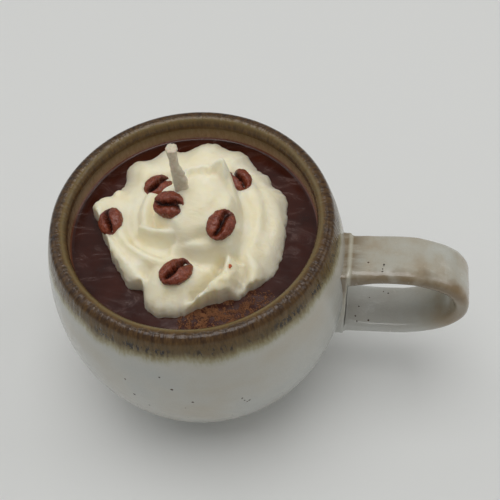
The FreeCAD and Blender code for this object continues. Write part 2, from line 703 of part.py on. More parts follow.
def makeWick():
    """A cotton wick from the mug's floor up through both waxes, spread a little where it is cut."""
    body = doc.addObject("PartDesign::Body", "wick")
    body.Label = "wick"
    core = body.newObject("PartDesign::Pad", "core")
    core.Profile = wickCircle(body, "coreSection", FLOOR_LEVEL, "Sizes.wick_radius")
    core.setExpression("Length", WICK_LENGTH + " - Sizes.wick_cut")
    doc.recompute()
    neck = wickCircle(body, "cutStart", FLOOR_LEVEL + " + " + WICK_LENGTH + " - Sizes.wick_cut",
                      "Sizes.wick_radius")
    end = wickCircle(body, "cutEnd", FLOOR_LEVEL + " + " + WICK_LENGTH,
                     "Sizes.wick_radius + Sizes.wick_flare")
    spread = body.newObject("PartDesign::AdditiveLoft", "spread")
    spread.Profile = neck
    spread.Sections = [end]
    doc.recompute()
    return body


# ---------------------------------------------------------------- the candle put together
def makeCoffee(wick):
    """The brown wax: the room inside the mug up to the wax's level, round the wick."""
    cavity = doc.addObject("PartDesign::Body", "cavity")
    turn(cavity, cavityProfile(cavity))
    roundInside(cavity, "cavity")
    slab = doc.addObject("Part::Cylinder", "waxSlab")
    slab.setExpression("Radius", BELLY)
    slab.setExpression("Height", WAX_LEVEL)
    fill = doc.addObject("Part::Common", "waxFill")
    fill.Base = cavity
    fill.Tool = slab
    coffee = doc.addObject("Part::Cut", "coffee")
    coffee.Label = "coffee"
    coffee.Base = fill
    coffee.Tool = wick
    doc.recompute()
    return coffee


def makeCream(whip, pressedIn):
    """The whipped wax with a socket for each bean and a hole for the wick."""
    seated = doc.addObject("Part::Compound", "seated")
    seated.Links = pressedIn
    cream = doc.addObject("Part::Cut", "cream")
    cream.Label = "cream"
    cream.Base = whip
    cream.Tool = seated
    doc.recompute()
    return cream


mug = makeMug()
wick = makeWick()
coffee = makeCoffee(wick)
whip = doc.addObject("Part::Feature", "whip")
whip.Shape = makeWhip()
beans = [makeBean(name, whip.Shape) for name in BEANS]
cream = makeCream(whip, beans + [wick])
doc.recompute()

for item in doc.Objects:
    if "Invalid" in item.State or "Error" in item.State:
        raise RuntimeError("%s did not build" % item.Name)

os.makedirs("parts", exist_ok=True)
for piece in [mug, coffee, cream, wick] + beans:
    shape = piece.Shape
    if shape.isNull() or not shape.isValid() or len(shape.Solids) != 1:
        raise RuntimeError("%s is not one sound solid" % piece.Label)
    shape.exportStep("parts/%s.step" % piece.Label)
    print("%-8s %9.1f mm3" % (piece.Label, shape.Volume))
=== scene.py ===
import math
import random
import bmesh
import bpy
import numpy as np
from bmesh.types import BMEdge, BMFace, BMVert
from mathutils import Matrix, Vector, noise


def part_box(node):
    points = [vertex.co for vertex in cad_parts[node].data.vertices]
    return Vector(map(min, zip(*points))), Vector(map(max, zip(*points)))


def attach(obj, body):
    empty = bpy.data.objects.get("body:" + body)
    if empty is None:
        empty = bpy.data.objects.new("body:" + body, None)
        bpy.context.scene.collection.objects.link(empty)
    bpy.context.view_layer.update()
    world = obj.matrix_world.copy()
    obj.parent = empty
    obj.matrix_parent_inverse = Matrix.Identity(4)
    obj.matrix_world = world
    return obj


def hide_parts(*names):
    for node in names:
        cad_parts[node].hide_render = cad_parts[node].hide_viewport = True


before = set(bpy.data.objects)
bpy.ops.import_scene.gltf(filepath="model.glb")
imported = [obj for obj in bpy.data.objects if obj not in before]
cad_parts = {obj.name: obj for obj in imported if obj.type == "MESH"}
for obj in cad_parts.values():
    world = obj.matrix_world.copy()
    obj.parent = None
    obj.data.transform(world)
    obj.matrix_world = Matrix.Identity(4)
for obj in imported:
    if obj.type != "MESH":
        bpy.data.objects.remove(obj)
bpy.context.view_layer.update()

mm = 0.001
farAway = 1e9      # millimetres, further than anything
print("frame loaded")


def tone(red, green, blue):
    # a colour given the way a paint chart gives it, 0 to 255
    parts = []
    for value in (red, green, blue):
        share = value / 255
        parts.append(share / 12.92 if share <= 0.04045 else ((share + 0.055) / 1.055) ** 2.4)
    return (*parts, 1)


def arcPoints(centre, radius, start, end, steps):
    # points on an arc, angles in degrees
    points = []
    for step in range(steps + 1):
        angle = math.radians(start + (end - start) * step / steps)
        points.append((centre[0] + radius * math.cos(angle), centre[1] + radius * math.sin(angle)))
    return points


def degreesTo(centre, point):
    return math.degrees(math.atan2(point[1] - centre[1], point[0] - centre[0]))


def clamp(value):
    return max(0, min(1, value))


def only(kind, geometry):
    return [part for part in geometry if isinstance(part, kind)]


def linked(name, data):
    # an object in the scene that carries a mesh, a light or a camera
    thing = bpy.data.objects.new(name, data)
    bpy.context.scene.collection.objects.link(thing)
    return thing


def meshObject(bm, name, material):
    mesh = bpy.data.meshes.new(name)
    bm.to_mesh(mesh)
    bm.free()
    mesh.materials.append(material)
    mesh.polygons.foreach_set("use_smooth", [True] * len(mesh.polygons))
    return linked(name, mesh)


def blendRadius(across, along, small=0):
    # radius of the arc that starts square to an axis and meets a smaller arc, or ends in a point
    return (across ** 2 + along ** 2 - small ** 2) / (2 * (across - small))


def pieceFrom(bm, name, material):
    piece = meshObject(bm, name, material)
    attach(piece, "root")
    return piece


def spinProfile(profile, steps):
    # turn a half section (radius, height in mm) about the upright axis
    bm = bmesh.new()
    verts = [bm.verts.new((radius * mm, 0, height * mm)) for radius, height in profile]
    edges = [bm.edges.new(pair) for pair in zip(verts, verts[1:])]
    bmesh.ops.spin(bm, geom=verts + edges, axis=(0, 0, 1), cent=(0, 0, 0),
                   angle=2 * math.pi, steps=steps, use_merge=True)
    bmesh.ops.remove_doubles(bm, verts=bm.verts, dist=0.001 * mm)
    bmesh.ops.recalc_face_normals(bm, faces=bm.faces)
    return bm


def voxelRemesh(bm, size, rounds, softness=0.5):
    # one closed skin round everything in the mesh, then smoothed
    mesh = bpy.data.meshes.new("remeshWork")
    bm.to_mesh(mesh)
    bm.free()
    work = linked("remeshWork", mesh)
    remesh = work.modifiers.new("remesh", "REMESH")
    remesh.mode = "VOXEL"
    remesh.voxel_size = size * mm
    soften = work.modifiers.new("soften", "SMOOTH")
    soften.factor = softness
    soften.iterations = rounds
    graph = bpy.context.evaluated_depsgraph_get()
    result = bmesh.new()
    result.from_object(work, graph)
    bpy.data.objects.remove(work)
    bpy.data.meshes.remove(mesh)
    return result


def extrudeEnd(bm, end):
    # carries an end face on, and gives the new vertices and the new end
    geometry = bmesh.ops.extrude_face_region(bm, geom=end)["geom"]
    bmesh.ops.delete(bm, geom=end, context="FACES_ONLY")
    return only(BMVert, geometry), only(BMFace, geometry)


def shakeAlongNormals(bm, size, amount, octaves, seed):
    # uneven surface: moves every vertex along its normal by layered noise
    bm.normal_update()
    shift = Vector((seed, seed * 1.7, seed * 0.6))
    for vert in bm.verts:
        wave = noise.fractal(vert.co / (size * mm) + shift, 0.8, 2.0, octaves)
        vert.co += vert.normal * (wave * amount * mm)


def newMaterial(name, roughness=0.5, ior=1.5):
    material = bpy.data.materials.new(name)
    material.use_nodes = True
    tree = material.node_tree
    shader = tree.nodes["Principled BSDF"]
    shader.inputs["Roughness"].default_value = roughness
    shader.inputs["IOR"].default_value = ior
    return material, tree, shader


def plug(node, values):
    # what another node gives is linked, and a constant is set on the socket itself; id_data is the tree
    for name, value in values.items():
        if isinstance(value, bpy.types.NodeSocket):
            node.id_data.links.new(value, node.inputs[name])
        else:
            node.inputs[name].default_value = value


def addNode(tree, kind, inputs=None, **settings):
    node = tree.nodes.new("ShaderNode" + kind)
    for name, value in settings.items():
        setattr(node, name, value)
    plug(node, inputs or {})
    return node


def ramp(factor, stops):
    node = addNode(factor.id_data, "ValToRGB", {"Fac": factor})
    elements = node.color_ramp.elements
    elements[0].position, elements[0].color = stops[0]
    elements[1].position, elements[1].color = stops[-1]
    for position, colour in stops[1:-1]:
        elements.new(position).color = colour
    return node.outputs["Color"]


def math2(operation, first, second=0.0):
    return addNode(first.id_data, "Math", {0: first, 1: second}, operation=operation).outputs[0]


def times(product, *others):
    for other in others:
        product = math2("MULTIPLY", product, other)
    return product


def spread(value, low, high, newLow=0.0, newHigh=1.0):
    inputs = {"Value": value, "From Min": low, "From Max": high, "To Min": newLow, "To Max": newHigh}
    return addNode(value.id_data, "MapRange", inputs).outputs["Result"]


def blend(factor, first, second, mode="MIX"):
    node = addNode(factor.id_data, "Mix", data_type="RGBA", blend_type=mode)
    plug(node, {0: factor, 6: first, 7: second})      # the colour sockets of a Mix node
    return node.outputs[2]


def stain(colour, mask, amount, tint):
    return blend(times(mask, amount), colour, tint)


def axesOf(vector):
    return addNode(vector.id_data, "SeparateXYZ", {"Vector": vector}).outputs


def noiseAt(vector, scale, detail=3.0, rough=0.55, distortion=0.0):
    inputs = {"Vector": vector, "Scale": scale, "Detail": detail, "Roughness": rough}
    return addNode(vector.id_data, "TexNoise", {**inputs, "Distortion": distortion}).outputs["Fac"]


def uneven(vector, scale, low, high, detail=3.0, rough=0.55):
    # noise brought between two values
    return spread(noiseAt(vector, scale, detail, rough), 0.3, 0.7, low, high)


def bumpFrom(height, distance, strength, normal=None):
    inputs = {"Height": height, "Distance": distance, "Strength": strength}
    if normal:
        inputs["Normal"] = normal
    return addNode(height.id_data, "Bump", inputs).outputs["Normal"]


def objectPoint(tree, scale=(1000, 1000, 1000)):
    # the place on the object, in millimetres unless stretched otherwise
    point = addNode(tree, "TexCoord").outputs["Object"]
    return addNode(tree, "Mapping", {"Vector": point, "Scale": scale}).outputs["Vector"]


glazeSettings = {
    "rimFrom": -16.0, "rimTo": 14.0,      # the stretch that the rim's colours cover
    "body": tone(188, 187, 179),
    "bodyWarm": tone(185, 179, 165),
    "bodyCool": tone(182, 184, 180),
    "rimStops": [        # millimetres outwards from the crest of the lip, colour
        # the stops below the crest are the inside glaze's warm colour, partly painted light: made lighter
        # down towards the brown wax to lift the shaded inner wall
        (-16.0, tone(188, 134, 102)),
        (-10.0, tone(180, 150, 118)),
        (-7.0, tone(148, 130, 98)),
        (-5.2, tone(98, 78, 52)),
        (-4.0, tone(62, 41, 25)),
        (-2.7, tone(88, 71, 44)),
        (-1.7, tone(114, 99, 64)),
        (-0.9, tone(90, 70, 42)),
        (-0.1, tone(63, 43, 27)),
        (0.8, tone(50, 31, 17)),
        (2.4, tone(58, 38, 18)),
        (3.8, tone(78, 58, 22)),
        (5.6, tone(86, 68, 32)),
        (7.0, tone(94, 77, 44)),
        (8.4, tone(124, 110, 72)),
        (9.6, tone(150, 142, 110)),
        (11.0, tone(172, 168, 148)),
        (13.2, tone(188, 186, 177)),
    ],
}


def stopsOnScale(stops, low, high):
    return [((place - low) / (high - low), colour) for place, colour in stops]


def speckled(colour, vector, most, tint):
    # fine speckle all over
    grain = noiseAt(vector, 3.4, 2.0, 0.7)
    return blend(spread(grain, 0.60, 0.82, 0.0, most), colour, tint, "MULTIPLY")


def makeGlaze():
    material, tree, shader = newMaterial("stonewareGlaze", roughness=0.16)
    flow = addNode(tree, "Attribute", attribute_name="glazeFlow").outputs["Vector"]
    along = axesOf(flow)["Z"]
    runs = addNode(tree, "Mapping", {"Vector": flow, "Scale": (1, 1, 0.16)}).outputs["Vector"]
    fineRuns = addNode(tree, "Mapping", {"Vector": flow, "Scale": (1, 1, 0.32)}).outputs["Vector"]

    # the band round the rim, its lower edge feathered by runs in the glaze
    broad = uneven(runs, 0.09, -1.3, 1.3, 2.0)
    shift = math2("ADD", broad, uneven(fineRuns, 1.1, -0.7, 0.7))
    outside = spread(along, 2.0, 9.0, 0.12, 1.0)
    place = math2("ADD", along, times(shift, outside))
    low, high = glazeSettings["rimFrom"], glazeSettings["rimTo"]
    band = ramp(spread(place, low, high), stopsOnScale(glazeSettings["rimStops"], low, high))

    # the pale body with warm and cool clouds
    clouds = noiseAt(flow, 0.035, 3.0)
    pale = ramp(clouds, [(0.34, glazeSettings["bodyCool"]), (0.5, glazeSettings["body"]),
                               (0.68, glazeSettings["bodyWarm"])])
    isBody = spread(place, 10.5, 14.0)
    colour = blend(isBody, band, pale)

    # dark streaks that run down through the band
    streak = noiseAt(fineRuns, 1.25, 3.0, 0.6)
    patches = spread(noiseAt(runs, 0.12, 2.0), 0.35, 0.55)
    streakMask = times(spread(streak, 0.52, 0.56), patches, spread(along, 4.6, 6.0), spread(along, 8.8, 7.2))
    # fine brown flow lines all over the band
    lines = spread(noiseAt(fineRuns, 0.9, 4.0, 0.7), 0.38, 0.66)
    bandOnly = spread(place, 8.5, 5.0)
    colour = stain(colour, times(lines, bandOnly), 0.42, tone(122, 92, 52))
    colour = stain(colour, streakMask, 0.9, tone(30, 23, 16))

    # blue-black mottling on the crest, strongest on the side away from the handle
    side = axesOf(flow)["X"]
    mottle = noiseAt(flow, 0.55, 5.0, 0.65)
    mottleMask = times(spread(mottle, 0.47, 0.60), spread(side, -18, -40), spread(along, -1.5, 0.5),
                       spread(along, 7.5, 3.5))
    colour = stain(colour, mottleMask, 0.55, tone(44, 42, 42))

    # the thin dark line where two glazes meet, just inside the crest
    wander = uneven(flow, 0.35, -0.75, 0.75, 4.0, 0.6)
    lineAt = math2("ABSOLUTE", math2("ADD", math2("ADD", along, wander), 0.35))
    gaps = spread(noiseAt(flow, 0.16, 2.0), 0.40, 0.52)
    lineMask = times(spread(lineAt, 0.42, 0.18), gaps)
    colour = stain(colour, lineMask, 0.45, tone(52, 44, 34))

    colour = speckled(colour, flow, 0.35, tone(96, 84, 70))

    # glaze is wavy, and dips where the streaks and the line run; runs stand up in the thick band only
    wave = bumpFrom(noiseAt(flow, 0.10), 0.0006, 0.5)
    bandRuns = times(noiseAt(runs, 0.5), spread(place, 11.0, 7.0))
    wave = bumpFrom(bandRuns, 0.0008, 0.7, wave)
    fine = bumpFrom(noiseAt(flow, 1.6), 0.00008, 0.5, wave)
    sunk = math2("ADD", times(lineMask, -1.0), times(streakMask, -0.5))
    plug(shader, {"Base Color": colour, "Normal": bumpFrom(sunk, 0.0002, 0.6, fine),
                  "Roughness": uneven(flow, 0.4, 0.12, 0.26), "Specular IOR Level": 0.38})
    return material


mugSettings = {
    "height": 84.0, "lipRadius": 43.3, "bead": 2.9, "neckRadius": 41.0, "neckDepth": 13.0,
    "bellyRadius": 51.3, "bellyHeight": 51.0, "wall": 5.0,
    "footRadius": 31.0, "footWidth": 5.0, "footRecess": 2.0, "footInsideRound": 0.9, "footOutsideRound": 0.95,
    "floor": 7.0, "floorRound": 9.0, "hub": 12.0,      # flat middle of the floor and of the recess
    "steps": 192, "flowRadius": 45.0,
}


def mugSections():
    s = mugSettings
    belly, level = s["bellyRadius"], s["bellyHeight"]
    lowerRadius = blendRadius(belly - s["footRadius"], level)
    lowerCentre = (belly - lowerRadius, level)
    lip = (s["lipRadius"], s["height"] - s["bead"])
    upperRadius = blendRadius(belly - lip[0], lip[1] - level, s["bead"])
    upperCentre = (belly - upperRadius, level)
    lipTurn = degreesTo(upperCentre, lip)
    neckTurn = 180 + math.degrees(math.acos((lip[0] - s["neckRadius"]) / s["bead"]))
    neck = (s["neckRadius"], s["height"] - s["neckDepth"])
    inBelly = belly - s["wall"]
    neckArc = blendRadius(inBelly - neck[0], neck[1] - level)
    neckCentre = (inBelly - neckArc, level)
    innerRadius = lowerRadius - s["wall"]
    floorCut = s["floor"] + s["floorRound"] * 0.55
    wallEnd = -math.degrees(math.asin((level - floorCut) / innerRadius))

    recess, footInside = s["footRecess"], s["footRadius"] - s["footWidth"]
    insideRound, outsideRound = s["footInsideRound"], s["footOutsideRound"]
    foot = [(0, recess), (s["hub"], recess), (footInside - 0.8, recess), (footInside, recess - 0.5)]
    foot += arcPoints((footInside + insideRound, insideRound), insideRound, 180, 270, 5)
    foot += arcPoints((s["footRadius"] - 0.85, outsideRound), outsideRound, 270, 340, 5)
    lower = arcPoints(lowerCentre, lowerRadius, degreesTo(lowerCentre, (s["footRadius"], 0)) + 1.3, 0, 26)
    upper = arcPoints(upperCentre, upperRadius, 0, lipTurn, 14)[1:]
    bead = arcPoints(lip, s["bead"], lipTurn, neckTurn, 26)[1:]
    outer = foot + lower + upper + bead

    inner = [(s["neckRadius"], z) for z in (77.0, 75.5, 74.0, 72.6)]
    inner += arcPoints(neckCentre, neckArc, degreesTo(neckCentre, neck) - 4, 0, 12)
    inner += arcPoints(lowerCentre, innerRadius, 0, wallEnd, 18)[1:]
    wallFoot = inner[-1]
    inner += [(wallFoot[0] - 2.6, s["floor"] + 1.9), (wallFoot[0] - 5.2, s["floor"] + 0.5),
              (wallFoot[0] - 8.4, s["floor"]), (s["hub"], s["floor"]), (0, s["floor"])]
    return outer, inner, lip


def addGlazeFlow(piece, profile, crest):
    # arc length down from the lip's crest, with the bearing kept as a circle so no seam shows
    lengths = [0.0]
    for (x0, z0), (x1, z1) in zip(profile, profile[1:]):
        lengths.append(lengths[-1] + math.hypot(x1 - x0, z1 - z0))
    corners = np.array(profile)
    crestAt = lengths[int(np.argmin(np.hypot(corners[:, 0] - crest[0], corners[:, 1] - crest[1])))]
    along = crestAt - np.array(lengths)
    count = len(piece.data.vertices)
    co = np.zeros(count * 3)
    piece.data.vertices.foreach_get("co", co)
    co = co.reshape(-1, 3) / mm
    reach = np.hypot(co[:, 0], co[:, 1])
    nearest = np.zeros(count, int)
    best = np.full(count, farAway)
    for index, (radius, height) in enumerate(profile):
        away = np.hypot(reach - radius, co[:, 2] - height)
        closer = away < best
        nearest[closer] = index
        best[closer] = away[closer]
    bearing = np.arctan2(co[:, 1], co[:, 0])
    flow = np.column_stack((mugSettings["flowRadius"] * np.cos(bearing),
                            mugSettings["flowRadius"] * np.sin(bearing), along[nearest]))
    attribute = piece.data.attributes.new("glazeFlow", "FLOAT_VECTOR", "POINT")
    attribute.data.foreach_set("vector", flow.astype(np.float32).ravel())


glaze = makeGlaze()
outerSection, innerSection, lipCentre = mugSections()
mugProfile = outerSection + innerSection
mugPiece = pieceFrom(spinProfile(mugProfile, mugSettings["steps"]), "mugBody", glaze)
addGlazeFlow(mugPiece, mugProfile, (lipCentre[0], mugSettings["height"]))
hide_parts("mug")
print("mug turned")


handleSettings = {
    "width": 17.9, "thickness": 4.9, "roundness": 2.3, "reach": 90.8, "level": 49.0, "spread": 37.2,
    "tilt": 6.5, "shoulder": 67.0, "tipRadius": 13.6, "start": 48.4, "bossFace": 51.5, "bossDepth": 7.0,
    "margin": 0.15, "bossFlare": 0.5, "voxel": 0.5, "softening": 6,
    "rootReach": 13.0, "rootSwell": 2.2, "ridge": 0.45, "ridgeWidth": 0.8,
    "bumps": 9, "bumpHeight": 0.16,
}


def strapSection(width, thickness, roundness):
    # rounded rectangle as a single face, upright, facing along X
    bm = bmesh.new()
    bmesh.ops.create_grid(bm, x_segments=1, y_segments=1, size=0.5)
    bmesh.ops.scale(bm, vec=(thickness * mm, width * mm, 1), verts=bm.verts)
    bmesh.ops.bevel(bm, geom=bm.verts[:], offset=roundness * mm, offset_type="OFFSET", affect="VERTICES",
                    segments=5, profile=0.5, material=-1)
    bmesh.ops.rotate(bm, cent=(0, 0, 0), matrix=Matrix.Rotation(math.pi / 2, 3, "Y"), verts=bm.verts)
    return bm


def sweepStrap():
    s = handleSettings
    half = (s["spread"] - s["thickness"]) / 2
    tipReach = s["reach"] - s["thickness"] / 2 - s["tipRadius"]
    bend = blendRadius(half, tipReach - s["shoulder"], s["tipRadius"])
    upper = Vector((s["shoulder"], 0, s["level"] + half - bend))
    lower = Vector((s["shoulder"], 0, s["level"] - half + bend))
    tip = Vector((tipReach, 0, s["level"]))
    turn = 90 - degreesTo((upper.x, upper.z), (tip.x, tip.z))

    bm = strapSection(s["width"], s["thickness"], s["roundness"])
    bmesh.ops.translate(bm, vec=Vector((s["start"], 0, s["level"] + half)) * mm, verts=bm.verts)
    end = bm.faces[:]

    def pull(end, distance, steps):
        for _ in range(steps):
            moved, end = extrudeEnd(bm, end)
            bmesh.ops.translate(bm, vec=(distance * mm / steps, 0, 0), verts=moved)
        return end

    def swing(end, centre, degrees, steps):
        result = bmesh.ops.spin(bm, geom=end, cent=centre * mm, axis=(0, 1, 0),
                                angle=math.radians(degrees), steps=steps, use_merge=False)
        bmesh.ops.delete(bm, geom=end, context="FACES_ONLY")
        return only(BMFace, result["geom_last"])

    end = pull(end, s["shoulder"] - s["start"], 8)
    end = swing(end, upper, turn, 14)
    end = swing(end, tip, 180 - 2 * turn, 18)
    end = swing(end, lower, turn, 14)
    end = pull(end, s["start"] - s["shoulder"], 8)
    bmesh.ops.remove_doubles(bm, verts=bm.verts, dist=0.001 * mm)
    # the whole strap climbs a little as it leaves the wall
    climb = Matrix.Rotation(-math.radians(s["tilt"]), 3, "Y")
    lift = Vector((half * math.sin(math.radians(s["tilt"])), 0, 0)) * mm
    bmesh.ops.rotate(bm, cent=Vector((s["start"], 0, s["level"])) * mm, matrix=climb, verts=bm.verts)
    bmesh.ops.translate(bm, vec=lift, verts=bm.verts)
    return bm


def makeHandle():
    s = handleSettings
    bm = sweepStrap()
    # the flat-faced block on the wall that carries both roots
    block = bmesh.ops.create_cube(bm, size=1)["verts"]
    bmesh.ops.scale(bm, vec=(s["bossDepth"] * mm, (s["width"] + 2 * s["margin"]) * mm,
                             (s["spread"] + 2 * s["margin"]) * mm), verts=block)
    for vert in block:
        if vert.co.x < 0:
            vert.co.y += math.copysign(s["bossFlare"] * mm, vert.co.y)
            vert.co.z += math.copysign(s["bossFlare"] * mm, vert.co.z)
    bmesh.ops.translate(bm, vec=Vector((s["bossFace"] - s["bossDepth"] / 2, 0, s["level"])) * mm, verts=block)
    bmesh.ops.recalc_face_normals(bm, faces=bm.faces)
    bm = voxelRemesh(bm, s["voxel"], s["softening"])
    # inside the loop the strap thickens towards its roots, and a thin ridge marks the block's edge
    half = s["spread"] / 2 - s["thickness"] * 0.5
    for vert in bm.verts:
        x, y, z = vert.co / mm
        fall = clamp((s["bossFace"] + s["rootReach"] - x) / s["rootReach"]) ** 2
        off = z - s["level"] - (x - s["start"]) * math.tan(math.radians(s["tilt"]))
        if abs(off) < half + 0.4 and x > s["bossFace"] + 0.3:
            vert.co.z -= math.copysign(s["rootSwell"] * fall, off) * mm
        ridge = math.exp(-((x - s["bossFace"]) / s["ridgeWidth"]) ** 2)
        if abs(off) > half + 1:
            vert.co.z += math.copysign(s["ridge"] * ridge, off) * mm
    shakeAlongNormals(bm, s["bumps"], s["bumpHeight"], 2, 4.0)
    return bm


def makeHandleGlaze():
    material, tree, shader = newMaterial("handleGlaze", roughness=0.18)
    point = objectPoint(tree)
    parts = axesOf(point)
    clouds = noiseAt(point, 0.10, 4.0)
    pale = ramp(clouds, [(0.32, tone(182, 182, 172)), (0.50, tone(175, 170, 155)),
                               (0.68, tone(165, 153, 132))])
    # brown glaze pools along the near edge of the top strap and round its roots
    wander = uneven(point, 0.12, -3.0, 3.0)
    nearEdge = spread(math2("ADD", parts["Y"], wander), -3.5, -8.5)
    pool = times(nearEdge, spread(parts["Z"], 56, 60))
    rootRuns = spread(noiseAt(objectPoint(tree, (600, 2500, 900)), 0.12), 0.35, 0.62)
    root = times(spread(parts["X"], 58, 52.5), spread(parts["Z"], 54, 60), rootRuns)
    pool = math2("MAXIMUM", pool, root)
    colour = stain(pale, pool, 0.8, tone(112, 90, 54))
    # a pale line where the glaze drew back from the block's edge
    ridge = spread(math2("ABSOLUTE", math2("ADD", parts["X"], -51.6)), 1.0, 0.3)
    colour = stain(colour, ridge, 0.6, tone(194, 191, 174))
    # brown along the bend at the far end
    bend = times(spread(parts["X"], 78, 90), spread(parts["Y"], -2, -8), 0.55)
    colour = blend(bend, colour, tone(134, 108, 72))
    # the inside of the loop is greyer
    inner = times(spread(parts["Z"], 44, 36), 0.8)
    colour = blend(inner, colour, tone(190, 191, 187))
    colour = speckled(colour, point, 0.4, tone(110, 96, 80))
    wave = bumpFrom(noiseAt(point, 0.12), 0.0007, 0.5)
    fine = bumpFrom(noiseAt(point, 1.4), 0.0001, 0.5, wave)
    plug(shader, {"Base Color": colour, "Normal": fine, "Roughness": uneven(point, 0.4, 0.12, 0.28),
                  "Coat Weight": 0.3, "Coat Roughness": 0.1})
    return material


handlePiece = pieceFrom(makeHandle(), "mugHandle", makeHandleGlaze())
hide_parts("mug")
print("handle made")


# where iron in the clay burnt through the glaze: loose groups, then strays all round
ironSpots = {
    "wallGroups": [{"bearing": -65, "height": 49, "width": 3, "tall": 5, "count": 5},
                   {"bearing": -90, "height": 58, "width": 36, "tall": 26, "count": 7}],
    # one group on top of the strap, one inside its lower run
    "strapGroups": [{"middle": (60, -4, 69), "reach": 3.0, "count": 5},
                    {"middle": (60, 0, 37), "reach": 7.5, "count": 7}],
    "groupSmall": 0.3, "groupLarge": 0.6, "strapShare": 0.75,      # those on the strap are smaller
    "strays": 46, "small": 0.14, "large": 0.38, "low": 12, "high": 46, "clearOfHandle": 0.35,
    "outside": 55, "wall": 51, "seed": 8, "flatness": 0.22, "sunk": 0.4,
}


def surfaceUnder(piece, place):
    # nearest spot on a piece and the way it faces
    _, spot, normal, _ = piece.closest_point_on_mesh(Vector(place) * mm)
    return spot, normal


def makeIronSpots():
    s = ironSpots
    roll = random.Random(s["seed"])
    outside, wanted = s["outside"], []
    for group in s["wallGroups"]:
        for _ in range(group["count"]):
            angle = math.radians(group["bearing"]) + roll.uniform(-0.5, 0.5) * group["width"] / s["wall"]
            height = group["height"] + roll.uniform(-0.5, 0.5) * group["tall"]
            place = (outside * math.cos(angle), outside * math.sin(angle), height)
            wanted.append((mugPiece, place, roll.uniform(s["groupSmall"], s["groupLarge"])))
    for group in s["strapGroups"]:
        (x, y, z), reach = group["middle"], group["reach"]
        for _ in range(group["count"]):
            place = (x + roll.uniform(-reach, reach), y + roll.uniform(-reach, reach), z)
            size = roll.uniform(s["groupSmall"], s["groupLarge"]) * s["strapShare"]
            wanted.append((handlePiece, place, size))
    for _ in range(s["strays"]):
        bearing = roll.uniform(s["clearOfHandle"], 2 * math.pi - s["clearOfHandle"])
        place = (outside * math.cos(bearing), outside * math.sin(bearing), roll.uniform(s["low"], s["high"]))
        wanted.append((mugPiece, place, roll.uniform(s["small"], s["large"])))
    bm = bmesh.new()
    for piece, place, size in wanted:
        spot, normal = surfaceUnder(piece, place)
        dot = bmesh.ops.create_icosphere(bm, subdivisions=2, radius=size * mm)["verts"]
        bmesh.ops.scale(bm, vec=(roll.uniform(0.7, 1), 1, s["flatness"]), verts=dot)
        turn = normal.to_track_quat("Z", "Y").to_matrix()
        bmesh.ops.rotate(bm, cent=(0, 0, 0), matrix=turn, verts=dot)
        bmesh.ops.translate(bm, vec=spot - normal * size * s["flatness"] * s["sunk"] * mm, verts=dot)
    return bm


def mottledMaterial(name, roughness, scale, detail, stops):
    # a plain material whose colour wanders between two tones
    material, tree, shader = newMaterial(name, roughness)
    point = objectPoint(tree)
    plug(shader, {"Base Color": ramp(noiseAt(point, scale, detail), stops)})
    return material, tree, shader


spotStops = [(0.4, tone(48, 38, 30)), (0.62, tone(84, 60, 40))]
spotMaterial = mottledMaterial("ironSpot", 0.2, 0.35, 2.0, spotStops)[0]
pieceFrom(makeIronSpots(), "ironSpots", spotMaterial)
print("iron spots burnt in")


brownSettings = {
    "level": 74.2, "intoWall": 0.15, "steps": 160,
    "meniscus": [(0, -0.15), (20, -0.15), (34, -0.1), (38, -0.05), (39.6, 0), (40.4, 0.12), (40.9, 0.4)],
}


def makeBrownWax():
    material, tree, shader = newMaterial("brownWax", roughness=0.14)
    point = objectPoint(tree)
    parts = axesOf(point)
    squares = math2("ADD", times(parts["X"], parts["X"]), times(parts["Y"], parts["Y"]))
    reach = math2("SQRT", squares)
    depth = noiseAt(point, 0.08)
    colour = ramp(depth, [(0.3, tone(46, 15, 7)), (0.7, tone(66, 26, 14))])
    # whitish bloom that streaks the surface
    streaks = noiseAt(objectPoint(tree, (700, 1500, 1000)), 0.12, 5.0, 0.65, 1.2)
    bloom = times(spread(streaks, 0.54, 0.74), 0.36)
    colour = blend(bloom, colour, tone(122, 92, 84))
    # thin orange line where the wax meets the wall
    line = times(spread(reach, 40.35, 40.85), 0.8)
    colour = blend(line, colour, tone(122, 66, 38))
    wave = bumpFrom(noiseAt(point, 0.07, 2.0), 0.0006, 0.35)
    fine = bumpFrom(noiseAt(point, 1.2), 0.00006, 0.4, wave)
    plug(shader, {"Base Color": colour, "Normal": fine, "Specular IOR Level": 0.42,
                  "Roughness": spread(streaks, 0.4, 0.7, 0.12, 0.32)})
    return material


def brownProfile():
    s = brownSettings
    wall = mugSettings["neckRadius"] + s["intoWall"]
    # the wax climbs a little where it meets the wall
    top = [(radius, s["level"] + lift) for radius, lift in s["meniscus"]] + [(wall, s["level"] + 0.75)]
    below = [(radius + s["intoWall"], height) for radius, height in innerSection
             if height < s["level"] - 1 and radius > 0]
    below[-1] = (below[-1][0], below[-1][1] - s["intoWall"])
    return top + below + [(0, mugSettings["floor"] - s["intoWall"])]


brownShape = spinProfile(brownProfile(), brownSettings["steps"])
brownPiece = pieceFrom(brownShape, "brownWax", makeBrownWax())
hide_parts("coffee")
print("brown wax poured")


